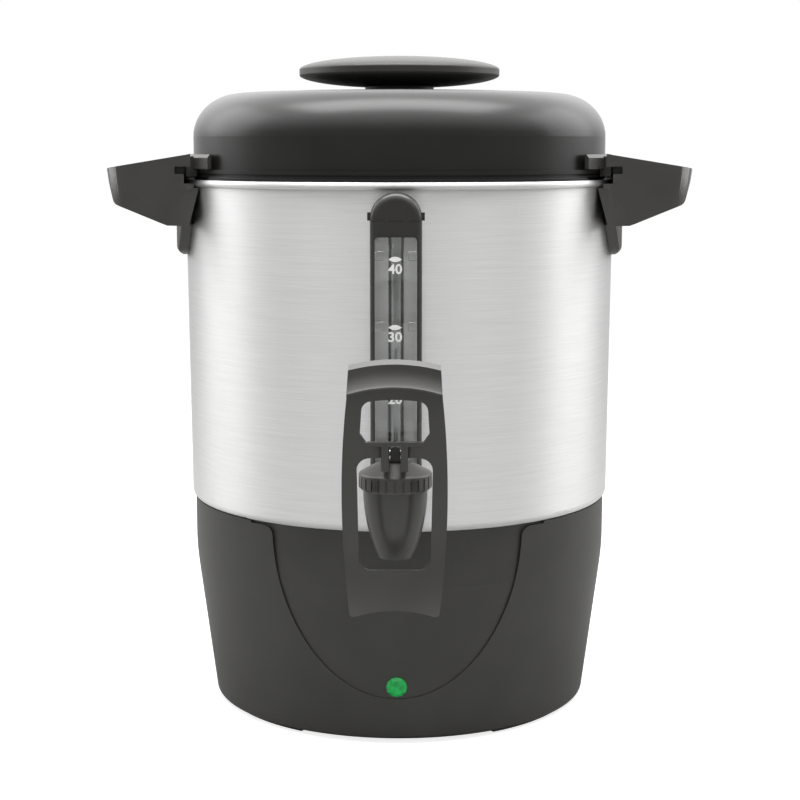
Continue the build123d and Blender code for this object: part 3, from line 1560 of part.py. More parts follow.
# ---------------------------------------------------------------- lid
def crown_line(centre_x, centre_z, width, height, sweep):
    """Elliptical shoulder that runs on into a round crown at the axis: gives the crown's height."""
    shoulder = EllipticalCenterArc((centre_x, centre_z), width, height, start_angle=0, arc_size=sweep)
    edge = shoulder @ 1
    heading = shoulder % 1
    crown_z = edge.Y + edge.X * tan(atan2(heading.Y, -heading.X) / 2)
    TangentArc(edge, (0, crown_z), tangent=heading)
    return crown_z


def lid_form(inset, low_z):
    """Filled form of the lid's dome: its outside at inset 0, its inside at the wall's thickness."""
    with BuildPart() as form:
        with BuildSketch(Plane.XZ):
            with BuildLine():
                crown_z = crown_line(
                    lid_r - lid_shoulder_w,
                    lid_shoulder_z,
                    lid_shoulder_w - inset,
                    lid_shoulder_h - inset,
                    lid_crown_angle,
                )
                Polyline(
                    (0, crown_z),
                    (0, low_z),
                    (lid_r - inset, low_z),
                    (lid_r - inset, lid_shoulder_z),
                )
            make_face()
        revolve(axis=Axis.Z)
    return form.part


def ring_sector(in_r, out_r, low_z, high_z, middle, half_angle):
    """A sector of a flat ring about the urn's axis."""
    with BuildPart() as sector:
        with BuildSketch(radial_plane(middle - half_angle)):
            with Locations(((in_r + out_r) / 2, (low_z + high_z) / 2)):
                Rectangle(out_r - in_r, high_z - low_z)
        revolve(axis=Axis.Z, revolution_arc=2 * half_angle)
    return sector.part


lid_outer = lid_form(0, lid_seat_low_z)
lid_inner = lid_form(lid_wall, lid_plug_low_z - 1)
lid_top_z = lid_outer.bounding_box().max.Z
lid_roof_z = lid_inner.bounding_box().max.Z
lid_bore_r = lid_r - lid_wall
flange_root_r = lid_r - 1
flange_half_angle = 90 - lid_notch_half_angle
seat_half_angle = 90 - lid_seat_notch_half_angle
lid_sectors = []
for side_angle in (90, -90):
    lid_sectors += [
        ring_sector(flange_root_r, lid_seat_r, lid_seat_low_z, lid_ring_low_z, side_angle, seat_half_angle),
        ring_sector(flange_root_r, lid_flange_r, lid_ring_low_z, lid_ring_high_z, side_angle, flange_half_angle),
        ring_sector(flange_root_r, lid_flange_r, lid_flange_low_z, lid_flange_high_z, side_angle, flange_half_angle),
    ]

with BuildPart() as lid_shell:
    add(lid_outer)
    # Plug that hangs inside the rim
    with BuildSketch(Plane.XY.offset(lid_plug_low_z)):
        Circle(lid_plug_r)
    extrude(amount=lid_seat_low_z - lid_plug_low_z)
    # Seat ring on the rim and two flanges above it, left out where they pass the catches
    for sector in lid_sectors:
        add(sector)
    add(lid_inner, mode=Mode.SUBTRACT)
    with BuildSketch(Plane.XY.offset(lid_roof_z - 2)):
        Circle(knob_screw_r + pin_gap)
    extrude(amount=lid_wall + 4, mode=Mode.SUBTRACT)
finish(lid_shell.part, "lid_shell")

knob_low_z = lid_top_z + knob_neck_h - 0.4
knob_rim_z = knob_low_z + knob_dish_h
knob_rim_top_z = knob_rim_z + knob_rim_h
with BuildPart() as lid_knob:
    # Neck and a wide disc: an elliptical dish below, a short rim, and an elliptical crown
    with BuildSketch(Plane.XZ):
        with BuildLine():
            neck_angle = degrees(acos(knob_neck_r / knob_r))
            dish = EllipticalCenterArc(
                (0, knob_rim_z), knob_r, knob_dish_h, start_angle=-neck_angle, arc_size=neck_angle
            )
            Line(dish @ 1, (knob_r, knob_rim_top_z))
            knob_top_z = crown_line(0, knob_rim_top_z, knob_r, knob_crown_h, knob_crown_angle)
            Polyline((0, knob_top_z), (0, lid_top_z), (knob_neck_r, lid_top_z), dish @ 0)
        make_face()
    revolve(axis=Axis.Z)
    with BuildSketch(Plane.XY.offset(lid_top_z)):
        Circle(knob_screw_r + pin_gap)
    extrude(amount=knob_hole_depth, mode=Mode.SUBTRACT)
finish(lid_knob.part, "lid_knob")

knob_washer_z = lid_roof_z - run_gap - knob_washer_t
with BuildPart() as knob_washer:
    with BuildSketch(Plane.XY.offset(knob_washer_z)):
        Circle(knob_washer_r)
        Circle(knob_screw_r + pin_gap, mode=Mode.SUBTRACT)
    extrude(amount=knob_washer_t)
finish(knob_washer.part, "knob_washer")

with BuildPart() as knob_screw:
    with BuildSketch(Plane.XY.offset(knob_washer_z)):
        Circle(2 * knob_screw_r)
    extrude(amount=-knob_head_h, taper=25)
    with BuildSketch(Plane.XY.offset(knob_washer_z)):
        Circle(knob_screw_r)
    extrude(amount=lid_top_z + knob_hole_depth - run_gap - knob_washer_z)
finish(knob_screw.part, "knob_screw")

# ---------------------------------------------------------------- brewing set
pump_foot_z = well_bottom_z + run_gap
with BuildPart() as pump_base:
    # Bell that stands in the well: floor plate with the inlet, skirt, cone and collar
    with BuildSketch(Plane.XZ):
        with BuildLine():
            plate_top = pump_foot_z + pump_plate_t
            Polyline(
                (pump_hole_r, pump_foot_z),
                (pump_foot_r, pump_foot_z),
                (pump_foot_r, pump_foot_z + pump_skirt_h),
                (pump_collar_r, pump_cone_z),
                (pump_collar_r, pump_collar_z),
                (pump_r + pin_gap, pump_collar_z),
                (pump_r + pin_gap, pump_cone_z - pump_plate_t),
                (pump_foot_r - 1.5, pump_foot_z + pump_skirt_h - 0.7),
                (pump_foot_r - 1.5, plate_top),
                (pump_hole_r, plate_top),
                close=True,
            )
        make_face()
    revolve(axis=Axis.Z)
    # Water inlets round the skirt
    with BuildSketch(Plane.XY.offset(pump_foot_z + pump_plate_t)):
        with PolarLocations(pump_foot_r, 8):
            Rectangle(6, 4)
    extrude(amount=2.0, mode=Mode.SUBTRACT)
finish(pump_base.part, "pump_base")

with BuildPart() as pump_tube:
    with BuildSketch(Plane.XY.offset(pump_low_z)):
        Circle(pump_r)
        Circle(pump_r - pump_wall, mode=Mode.SUBTRACT)
    extrude(amount=pump_high_z - pump_low_z)
finish(pump_tube.part, "pump_tube")

valve_z = pump_foot_z + pump_plate_t + run_gap
with BuildPart() as pump_washer:
    with BuildSketch(Plane.XY.offset(valve_z)):
        Circle(valve_r)
    extrude(amount=valve_t)
finish(pump_washer.part, "pump_washer")

with BuildPart() as basket_stop:
    with BuildSketch(Plane.XZ):
        with BuildLine():
            Polyline(
                (pump_r + pin_gap, basket_low_z - stop_t),
                (pump_r + 1.2, basket_low_z - stop_t),
                (stop_r, basket_low_z - 1),
                (stop_r, basket_low_z),
                (pump_r + pin_gap, basket_low_z),
                close=True,
            )
        make_face()
    revolve(axis=Axis.Z)
finish(basket_stop.part, "basket_stop")

with BuildPart() as basket:
    # Perforated floor, tapered wall with a rolled edge, and the sleeve round the tube
    with BuildSketch(Plane.XZ):
        with BuildLine():
            sleeve_in_r = sleeve_r - basket_wall
            Polyline(
                (sleeve_r, sleeve_high_z),
                (sleeve_r, basket_low_z + basket_wall),
                (basket_low_r - basket_wall, basket_low_z + basket_wall),
                (basket_high_r - basket_wall, basket_high_z),
                (basket_high_r, basket_high_z),
                (basket_low_r, basket_low_z),
                (pump_r + touch_gap, basket_low_z),
                (pump_r + touch_gap, basket_low_z + basket_wall),
                (sleeve_in_r, basket_low_z + basket_wall + 1),
                (sleeve_in_r, sleeve_high_z),
                close=True,
            )
        make_face()
        with Locations((basket_high_r + 0.5, basket_high_z)):
            Circle(basket_bead_r)
    revolve(axis=Axis.Z)
    with BuildSketch(Plane.XY.offset(basket_low_z - 1)):
        for ring_r in hole_ring_radii:
            with PolarLocations(ring_r, round(2 * pi * ring_r / hole_pitch)):
                Circle(hole_r)
    extrude(amount=basket_wall + 2, mode=Mode.SUBTRACT)
finish(basket.part, "basket")

spreader_z = basket_high_z + basket_bead_r + run_gap
with BuildPart() as basket_cover:
    # Perforated spreader with a turned-up edge and a collar round the tube
    with BuildSketch(Plane.XZ):
        with BuildLine():
            Polyline(
                (pump_r + run_gap, spreader_z),
                (spreader_r + spreader_t, spreader_z),
                (spreader_r + spreader_t, spreader_z + spreader_lip_h),
                (spreader_r, spreader_z + spreader_lip_h),
                (spreader_r, spreader_z + spreader_t),
                (spreader_collar_r, spreader_z + spreader_t),
                (spreader_collar_r - 1, spreader_z + spreader_collar_h),
                (pump_r + run_gap, spreader_z + spreader_collar_h),
                close=True,
            )
        make_face()
    revolve(axis=Axis.Z)
    with BuildSketch(Plane.XY.offset(spreader_z - 1)):
        for ring_r in hole_ring_radii:
            with PolarLocations(ring_r, round(2 * pi * ring_r / hole_pitch)):
                Circle(hole_r)
    extrude(amount=spreader_t + 2, mode=Mode.SUBTRACT)
finish(basket_cover.part, "basket_cover")
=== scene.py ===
# %% [markdown]
# # A coffee urn that pours one cup at a time
# The urn is a steel can on a moulded base. A wide knob twists and lifts the lid, two hood
# handles carry the can, a sight gauge shows how many cups are left, and a loop in front opens
# the tap when a cup is pushed against it.
#
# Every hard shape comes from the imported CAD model. Blender's work is the finish: how the steel
# is brushed, how the plastic is moulded, how the clear gauge bends the light, and the small
# printed and moulded things that are too fine for the CAD model.
#
# Names in capitals are sizes and levels that can be changed by hand. Names in small letters
# are measured or worked out.

import math

import bmesh
import bpy
from mathutils import Matrix, Vector


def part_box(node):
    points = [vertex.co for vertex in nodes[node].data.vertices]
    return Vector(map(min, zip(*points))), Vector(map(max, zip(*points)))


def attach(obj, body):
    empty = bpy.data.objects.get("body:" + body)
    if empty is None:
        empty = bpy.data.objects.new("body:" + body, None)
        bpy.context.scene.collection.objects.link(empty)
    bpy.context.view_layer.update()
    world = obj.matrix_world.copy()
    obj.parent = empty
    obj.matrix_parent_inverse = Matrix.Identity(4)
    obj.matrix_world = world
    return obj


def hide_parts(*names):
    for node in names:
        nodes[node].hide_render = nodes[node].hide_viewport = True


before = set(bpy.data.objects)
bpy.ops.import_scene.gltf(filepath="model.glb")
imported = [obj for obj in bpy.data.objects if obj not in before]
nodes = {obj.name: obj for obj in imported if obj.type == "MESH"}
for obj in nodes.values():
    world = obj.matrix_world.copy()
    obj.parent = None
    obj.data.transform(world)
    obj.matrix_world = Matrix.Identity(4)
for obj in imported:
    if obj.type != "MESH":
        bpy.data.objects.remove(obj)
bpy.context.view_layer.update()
MM = 0.001

# %% [markdown]
# ## Where the eye stands
# The camera stands about a metre away, a little above the middle of the urn, with a long lens,
# which keeps the two sides of the can nearly parallel. The lens is worked out from how many
# points of the render one radian covers, because that can be checked against any known size.

# %% Camera
RENDER_POINTS = 800
POINTS_PER_RADIAN = 1735.0
SENSOR_MM = 36.0
EYE_MM = (13.0, -986.0, 312.0)
LOOK_DOWN_DEGREES = 8.33
TURN_LEFT_DEGREES = 0.737
NEAREST, FARTHEST = 0.05, 30.0

camera_data = bpy.data.cameras.new("camera")
camera_data.sensor_width = SENSOR_MM
camera_data.lens = SENSOR_MM * POINTS_PER_RADIAN / RENDER_POINTS
camera_data.clip_start = NEAREST
camera_data.clip_end = FARTHEST
camera = bpy.data.objects.new("camera", camera_data)
camera.location = Vector(EYE_MM) * MM
camera.rotation_euler = (
    math.radians(90.0 - LOOK_DOWN_DEGREES),
    0.0,
    math.radians(TURN_LEFT_DEGREES),
)
bpy.context.scene.collection.objects.link(camera)
bpy.context.scene.camera = camera
print("lens, mm:", round(camera_data.lens, 2))

# %% [markdown]
# ## A light tent
# Small products are lit in a tent: white cloth all round, one large soft lamp above and two at
# the sides. Dark plastic shows its form only by what it mirrors, so the size and the place of
# each lamp matter more than its strength. The world stands for the cloth. It is white where the
# camera or a lens looks at it, and dimmer where it only lights the plastic. In a mirror the
# tent's front stands in shade, and its roof and back are bright. So upright black plastic stays
# black, while brushed steel, which smears what it mirrors up and down, draws light from the roof.
#
# All shaders are built by one small function that adds a node. An input can be fed with a
# value, with a socket, or with a whole node, which then gives its first output.

# %% Node helper and colours
def add_node(tree, kind, feeds=None, **settings):
    """Add a node with its settings, and feed its inputs with values, sockets or nodes."""
    node = tree.nodes.new(kind)
    for key, value in settings.items():
        setattr(node, key, value)
    for key, feed in (feeds or {}).items():
        if isinstance(feed, bpy.types.Node):
            feed = feed.outputs[0]
        if isinstance(feed, bpy.types.NodeSocket):
            tree.links.new(feed, node.inputs[key])
        else:
            node.inputs[key].default_value = feed
    return node


def linear(hex_colour):
    """An sRGB hex colour as the linear colour that the shaders work in."""
    parts = [int(hex_colour[i : i + 2], 16) / 255 for i in (1, 3, 5)]
    light = [c / 12.92 if c <= 0.04045 else ((c + 0.055) / 1.055) ** 2.4 for c in parts]
    return (*light, 1.0)


print("mid grey in linear light:", round(linear("#808080")[0], 4))

# %% The tent's cloth
TOWARDS_ROOF = (0.0, 0.3, 1.0)  # up, and a little to the back
FULL_ROOF = 0.8  # how far towards the roof a mirror looks when it meets all its light
FRONT_LEVEL, ROOF_LEVEL = 0.35, 2.3
PLASTIC_LEVEL = 0.36
WHITE_LEVEL = 1.0

scene = bpy.context.scene
scene.view_settings.view_transform = "Standard"
world = bpy.data.worlds.new("light_tent")
scene.world = world
world.use_nodes = True
cloth = world.node_tree
cloth.nodes.clear()
path = add_node(cloth, "ShaderNodeLightPath").outputs
way = add_node(cloth, "ShaderNodeTexCoord").outputs["Generated"]
to_roof = add_node(
    cloth, "ShaderNodeVectorMath", {0: way, 1: TOWARDS_ROOF}, operation="DOT_PRODUCT"
)
shade = {
    "Value": to_roof.outputs["Value"],
    "From Min": 0.0,
    "From Max": FULL_ROOF,
    "To Min": FRONT_LEVEL,
    "To Max": ROOF_LEVEL,
}
mirror_level = add_node(cloth, "ShaderNodeMapRange", shade, interpolation_type="SMOOTHSTEP")
either_ray = {0: path["Is Camera Ray"], 1: path["Is Transmission Ray"]}
looks_at_it = add_node(cloth, "ShaderNodeMath", either_ray, operation="MAXIMUM")
plain_white = linear("#ffffff")
dim, mirrored, white = [
    add_node(cloth, "ShaderNodeBackground", {"Color": plain_white, "Strength": strength})
    for strength in (PLASTIC_LEVEL, mirror_level, WHITE_LEVEL)
]
tent = add_node(cloth, "ShaderNodeMixShader", {0: path["Is Glossy Ray"], 1: dim, 2: mirrored})
all_round = add_node(cloth, "ShaderNodeMixShader", {0: looks_at_it, 1: tent, 2: white})
add_node(cloth, "ShaderNodeOutputWorld", {"Surface": all_round})
print("nodes in the cloth:", len(cloth.nodes))

# %% Lamps
AIM = Vector((0.0, 0.0, 0.18))  # half way up the urn
LAMPS = (  # name, place, width and height in metres, watts
    ("lamp_above", (0.0, -0.1, 1.35), (1.4, 0.6), 17.0),
    ("lamp_left", (-1.0, 0.3, 0.7), (0.8, 0.8), 3.4),
    ("lamp_right", (1.0, 0.3, 0.7), (0.8, 0.8), 3.4),
)
for name, place, size, watts in LAMPS:
    lamp_data = bpy.data.lights.new(name, "AREA")
    lamp_data.shape = "RECTANGLE"
    lamp_data.size, lamp_data.size_y = size
    lamp_data.energy = watts
    lamp = bpy.data.objects.new(name, lamp_data)
    lamp.location = place
    lamp.rotation_euler = (AIM - Vector(place)).to_track_quat("-Z", "Y").to_euler()
    scene.collection.objects.link(lamp)
print("lamps:", [row[0] for row in LAMPS])

# %% [markdown]
# The floor is a sheet of matt paper. The camera sees it with a glow of its own, so it comes out
# as white as the cloth and still keeps the urn's shadow. All other rays meet plain paper.

# %% Floor
FLOOR_REACH = 6.0
PAPER_GLOW = 0.8

floor_mesh = bpy.data.meshes.new("floor")
corners = [(FLOOR_REACH * x, FLOOR_REACH * y, 0) for x, y in ((-1, -1), (1, -1), (1, 1), (-1, 1))]
floor_mesh.from_pydata(corners, [], [(0, 1, 2, 3)])
floor = bpy.data.objects.new("floor", floor_mesh)
scene.collection.objects.link(floor)
paper = bpy.data.materials.new("white_paper_sweep")
paper.use_nodes = True
sheet = paper.node_tree
sheet.nodes.clear()
look = add_node(sheet, "ShaderNodeLightPath").outputs
matt = add_node(sheet, "ShaderNodeBsdfDiffuse", {"Color": linear("#d2d2d0")})
glow = add_node(sheet, "ShaderNodeEmission", {"Color": plain_white, "Strength": PAPER_GLOW})
lit = add_node(sheet, "ShaderNodeAddShader", {0: matt, 1: glow})
top = add_node(sheet, "ShaderNodeMixShader", {0: look["Is Camera Ray"], 1: matt, 2: lit})
add_node(sheet, "ShaderNodeOutputMaterial", {"Surface": top})
floor_mesh.materials.append(paper)
print("floor, m across:", 2 * FLOOR_REACH)

# %% [markdown]
# ## Finishes
# Each material is named for what the real one is and how its surface was made. A pattern's
# scale comes from a real size in millimetres. `Object` coordinates are used throughout: every
# piece sits at the origin, so one pattern runs on over all the pieces of a kind.

# %% Material helpers
def new_finish(name, **surface):
    """A material with one Principled shader, whose sockets get the given values."""
    material = bpy.data.materials.new(name)
    material.use_nodes = True
    tree = material.node_tree
    tree.nodes.clear()
    sockets = {title.replace("_", " "): value for title, value in surface.items()}
    shader = add_node(tree, "ShaderNodeBsdfPrincipled", sockets, name="shader")
    add_node(tree, "ShaderNodeOutputMaterial", {"Surface": shader})
    return material


def grain(material, size_mm, detail=2.0, stretch=(1.0, 1.0, 1.0)):
    """A noise pattern whose grains are size_mm wide, and longer along a stretched axis."""
    tree = material.node_tree
    place = add_node(tree, "ShaderNodeTexCoord").outputs["Object"]
    squeeze = [1.0 / s for s in stretch]
    drawn_out = add_node(tree, "ShaderNodeMapping", {"Vector": place, "Scale": squeeze})
    feeds = {"Vector": drawn_out, "Scale": 1.0 / (size_mm * MM), "Detail": detail}
    return add_node(tree, "ShaderNodeTexNoise", feeds)


RAMP_STOPS = (0.3, 0.7)  # noise hardly leaves this middle range


def vary(material, pattern, colours, roughness, relief=None, depth_mm=0.0):
    """Let one pattern lead the colour and the roughness of a finish, and another its height."""
    tree = material.node_tree
    shader = tree.nodes["shader"]
    ramp = add_node(tree, "ShaderNodeValToRGB", {0: pattern})
    for stop, place, colour in zip(ramp.color_ramp.elements, RAMP_STOPS, colours):
        stop.position = place
        stop.color = linear(colour)
    span = {"Value": pattern, "To Min": roughness[0], "To Max": roughness[1]}
    sheen = add_node(tree, "ShaderNodeMapRange", span)
    tree.links.new(ramp.outputs[0], shader.inputs["Base Color"])
    tree.links.new(sheen.outputs[0], shader.inputs["Roughness"])
    if relief:
        bump = add_node(tree, "ShaderNodeBump", {"Distance": depth_mm * MM, "Height": relief})
        tree.links.new(bump.outputs[0], shader.inputs["Normal"])


def wear(names, material):
    """Give CAD nodes their finish."""
    for name in names:
        slots = nodes[name].data.materials
        slots.clear()
        slots.append(material)


print("materials so far:", len(bpy.data.materials))

# %% [markdown]
# ### Brushed stainless steel
# The can is 18/8 stainless, brushed with a belt while it turns, so the scratches run round it.
# Each scratch is some hundredths of a millimetre wide and centimetres long. That gives two
# things: lamps smear into tall soft bands, and faint level streaks show. The streaks are drawn
# half a millimetre high, as fine ones would vanish at this distance.
#
# The brushing could be a picture of scratches wrapped round the can, but a picture repeats and
# has a seam. Noise that is drawn out in both level directions has neither, and it gives colour,
# sheen and height at once. A radial tangent lays the smear of the lamps across the scratches.
# The well in the floor is deep drawn and not brushed, so it has no streaks.

# %% Steel
STREAK_HEIGHT_MM = 0.5
STREAK_STRETCH = 60.0
STREAK_DEPTH_MM = 0.0015
DRAWN_CLOUD_MM = 2.0

steel = new_finish(
    "brushed_stainless_steel", Metallic=1.0, Anisotropic=0.9, Anisotropic_Rotation=0.25
)
streaks = grain(
    steel, STREAK_HEIGHT_MM, detail=3.0, stretch=(STREAK_STRETCH, STREAK_STRETCH, 1.0)
)
vary(steel, streaks, ("#dddddd", "#e6e6e6"), (0.46, 0.54), streaks, STREAK_DEPTH_MM)
steel_tree = steel.node_tree
round_axis = add_node(steel_tree, "ShaderNodeTangent", direction_type="RADIAL", axis="Z")
steel_tree.links.new(round_axis.outputs[0], steel_tree.nodes["shader"].inputs["Tangent"])
wear(["vessel"], steel)

drawn_steel = new_finish("deep_drawn_stainless_steel", Metallic=1.0)
clouds = grain(drawn_steel, DRAWN_CLOUD_MM)
vary(drawn_steel, clouds, ("#c4c4c2", "#d2d2d0"), (0.22, 0.32))
wear(["heat_well"], drawn_steel)
print("streaks, mm high:", STREAK_HEIGHT_MM, "long:", STREAK_HEIGHT_MM * STREAK_STRETCH)

# %% [markdown]
# ### Moulded charcoal plastics
# Base, lid, knob and gauge are moulded in charcoal polypropylene, the handles in phenolic resin
# and the tap in acetal. The mould is spark-eroded to a satin, which leaves pits a third of a
# millimetre across, so a lamp shows as a wide soft sheen. Tap and gauge come from a finer mould,
# with shallower pits. Thick and thin places cool at different rates, which clouds the sheen a
# little over some centimetres.
#
# Pits that are a few thousandths of a millimetre deep would be wasted as real geometry, so they
# are a bump in the shading. A table holds what differs from plastic to plastic.

# %% Charcoal plastics
PLASTIC_IOR = 1.49
CLOUD_MM = 28.0
PIT_MM = 0.35
SATIN_MM, FINE_MM = 0.006, 0.003  # how deep the pits are
CHARCOAL = {  # name: colours, roughness, depth of the pits, pieces
    "base_polypropylene": (
        ("#3a3937", "#403f3c"), (0.42, 0.5), SATIN_MM,
        ["base_shell", "bottom_cover", "cord_gland"],
    ),
    "lid_polypropylene": (("#21201f", "#262524"), (0.28, 0.33), SATIN_MM, ["lid_shell"]),
    "knob_polypropylene": (("#403f3d", "#454442"), (0.42, 0.48), SATIN_MM, ["lid_knob"]),
    "handle_phenolic": (
        ("#484745", "#4e4d4a"), (0.34, 0.42), SATIN_MM,
        ["handle_right", "handle_left", "lid_catch_right", "lid_catch_left"],
    ),
    "tap_acetal": (
        ("#4b4a47", "#504f4c"), (0.26, 0.33), FINE_MM,
        ["tap_body", "tap_bonnet", "tap_stem", "tap_handle", "tap_shank_nut"],
    ),
    "gauge_polypropylene": (
        ("#3a3937", "#3f3e3c"), (0.24, 0.3), FINE_MM,
        ["gauge_cover", "gauge_cap"],
    ),
}
for name, (colours, roughness, depth_mm, wearers) in CHARCOAL.items():
    plastic = new_finish(name, IOR=PLASTIC_IOR)
    clouds, pits = grain(plastic, CLOUD_MM, detail=1.0), grain(plastic, PIT_MM)
    vary(plastic, clouds, colours, roughness, pits, depth_mm)
    wear(wearers, plastic)
print("charcoal pieces:", sum(len(row[-1]) for row in CHARCOAL.values()))

# %% [markdown]
# ### Clear plastics
# The window is moulded in clear styrene-acrylonitrile, and the sight tube is drawn
# polycarbonate. A clear body hardly has a colour of its own. What shows is the bright and dark
# lines where its edges bend the light, so the shader passes light with the real refractive
# index and almost no roughness. A thin sheet could be made see-through without bending light,
# but then the tube behind it would lose its dark edges. Light from a lamp doesn't find its way
# through such a body in a render, so the window and the tube cast no shadow, and the steel
# behind them is lit.

# %% Window and tube
WINDOW_FLOW_MM = 6.0  # as wide as the flow marks in the moulded pane
TUBE_FLOW_MM = 4.0

window_plastic = new_finish("clear_styrene_acrylonitrile", Transmission_Weight=1.0, IOR=1.57)
window_flow = grain(window_plastic, WINDOW_FLOW_MM)
vary(window_plastic, window_flow, ("#f5f6f5", "#f9faf9"), (0.01, 0.05))
tube_plastic = new_finish("clear_polycarbonate", Transmission_Weight=1.0, IOR=1.58)
vary(tube_plastic, grain(tube_plastic, TUBE_FLOW_MM), ("#f2f4f4", "#f7f9f9"), (0.01, 0.04))
for name, clear_plastic in (("gauge_window", window_plastic), ("gauge_tube", tube_plastic)):
    wear([name], clear_plastic)
    nodes[name].visible_shadow = False
print("clear finishes:", window_plastic.name, tube_plastic.name)

# %% [markdown]
# ### The lit jewel
# A neon lamp lights the jewel from behind whenever the coffee is ready. The light of such a
# small lamp would hardly find its way out through a moulded acrylic body in a render, so a weak
# green glow of the jewel itself stands for it. The lamp behind it is plain glass.

# %% Jewel and lamp
JEWEL_GLOW = 0.36
JEWEL_CLOUD_MM = 2.2
BULB_CLOUD_MM = 1.5

jewel = new_finish(
    "green_acrylic_jewel",
    Transmission_Weight=0.35,
    IOR=PLASTIC_IOR,
    Emission_Color=linear("#02a84c"),
    Emission_Strength=JEWEL_GLOW,
)
vary(jewel, grain(jewel, JEWEL_CLOUD_MM, detail=1.0), ("#00662a", "#0cae58"), (0.04, 0.12))
wear(["indicator_lens"], jewel)
bulb_glass = new_finish("neon_lamp_glass", Transmission_Weight=0.8, IOR=1.5)
vary(bulb_glass, grain(bulb_glass, BULB_CLOUD_MM), ("#efd4bf", "#f6dfcf"), (0.03, 0.12))
wear(["indicator_lamp"], bulb_glass)
print("jewel glow:", JEWEL_GLOW)

# %% [markdown]
# ### Fasteners, aluminium, rubber and leads
# The inner pieces are seen when the lid is off or the urn is turned over. Screws and nuts are
# zinc plated, which is a cool grey with a faint cloud. The brewing set is spun and pressed
# aluminium, so it is paler and softer than the steel. Seals are matt black rubber, and the cup
# that closes the tap is pale silicone, as it touches the coffee.

# %% Inner finishes
SOFT_PIT_MM = 0.01
INNER_METALS = {  # name: colours, roughness, size of the clouds in mm, pieces
    "zinc_plated_steel": (
        ("#a9acae", "#bfc2c3"), (0.24, 0.38), 3.0,
        ["heat_well_nut", "thermal_fuse", "bottom_screws", "stud_nuts", "lamp_clip",
         "handle_screws", "handle_nuts", "gauge_push_nut", "tap_handle_pin", "knob_screw",
         "knob_washer"],
    ),
    "spun_aluminium": (
        ("#c6c7c6", "#d5d6d5"), (0.3, 0.44), 3.0,
        ["pump_tube", "pump_base", "pump_washer", "basket_stop", "basket", "basket_cover",
         "heat_shield"],
    ),
    "cast_aluminium": (
        ("#9c9c9a", "#b2b2b0"), (0.45, 0.6), 1.2,
        ["brew_heater", "keep_warm_heater"],
    ),
}
INNER_SOFT = {
    "nitrile_rubber": (
        ("#1d1d1d", "#262626"), (0.56, 0.68), 1.5,
        ["heat_well_gasket", "gauge_seals", "tap_washer_outer", "tap_washer_inner"],
    ),
    "food_grade_silicone": (("#b9b8b2", "#c9c8c2"), (0.44, 0.56), 1.5, ["tap_seat_cup"]),
    "phenolic_resin": (("#1b1a19", "#242322"), (0.34, 0.46), 1.5, ["thermostat"]),
    "steatite_ceramic": (("#cfc8b4", "#ddd7c5"), (0.5, 0.6), 1.5, ["terminal_block"]),
    "glass_braid_sleeving": (
        ("#c4c3bd", "#d8d7d1"), (0.64, 0.76), 0.8,
        ["heater_wires", "lamp_wires"],
    ),
}
for metallic, table in ((1.0, INNER_METALS), (0.0, INNER_SOFT)):
    for name, (colours, roughness, size_mm, wearers) in table.items():
        inner = new_finish(name, Metallic=metallic)
        clouds = grain(inner, size_mm)
        vary(inner, clouds, colours, roughness, None if metallic else clouds, SOFT_PIT_MM)
        wear(wearers, inner)
finishes = {node_name: node.data.materials[0] for node_name, node in nodes.items()}
bare = [n for n, finish in finishes.items() if "shader" not in finish.node_tree.nodes]
print("materials:", len(bpy.data.materials), "nodes without a finish:", bare)

# %% [markdown]
# ## The scale on the gauge
# The window carries a scale in raised white print: a short mark, thick in its middle, for every
# ten cups, and the number of cups below it. Ten cups are 31 mm of height, except at the top,
# where the brewing basket takes up some room and the same water stands a little higher.
#
# The scale could be painted in the window's material, but real print stands a little proud,
# catches its own light and stays sharp from close by, so it is made as thin meshes. A number is
# a text curve that is made a mesh and laid on the bowed front of the window. The marks repeat
# by a rule, so Geometry Nodes make one mark and place it four times.

# %% Sizes of the scale
SCALE_X = -0.35 * MM
MARK_COUNT = 4
MARK_WIDTH = 6.6 * MM
MARK_THICKNESS = 2.6 * MM
LOW_MARK_Z = 161.3 * MM
CUPS_A_MARK = 10
TEN_CUPS = 31.0 * MM
BASKET_RISE = 2.6 * MM
PRINT_RELIEF = 0.15 * MM
NUMBER_DROP = 4.7 * MM
NUMBER_WIDTH = 6.8 * MM
NUMBER_HEIGHT = 5.0 * MM


def mark_z(step_up):
    """The height of a mark, counted up from the lowest."""
    is_top = step_up == MARK_COUNT - 1
    return LOW_MARK_Z + TEN_CUPS * step_up + (BASKET_RISE if is_top else 0.0)


print("marks at z, mm:", [round(mark_z(step) / MM, 1) for step in range(MARK_COUNT)])

# %% [markdown]
# The front of the window is bowed. Its middle is the window's foremost place, and the foremost
# point of its side edge shows how far the bow falls back. Print follows that curve.

# %% Helpers for pieces on the window
EDGE_BAND = 0.1 * MM

window_low, window_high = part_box("gauge_window")
window_half = (window_high.x - window_low.x) / 2
pane_points = [v.co for v in nodes["gauge_window"].data.vertices]
pane_edge_y = min(p.y for p in pane_points if abs(p.x) > window_half - EDGE_BAND)
pane_bow = pane_edge_y - window_low.y


def lay_on_window(mesh):
    """Move a flat print back onto the bowed front face of the window."""
    for vertex in mesh.vertices:
        vertex.co.y += window_low.y + pane_bow * (vertex.co.x / window_half) ** 2
    mesh.update()


def new_piece(name, mesh, body, material):
    """Put a finished mesh in the scene as a piece that rides on a body."""
    piece = bpy.data.objects.new(name, mesh)
    scene.collection.objects.link(piece)
    mesh.materials.clear()
    mesh.materials.append(material)
    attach(piece, body)
    return piece


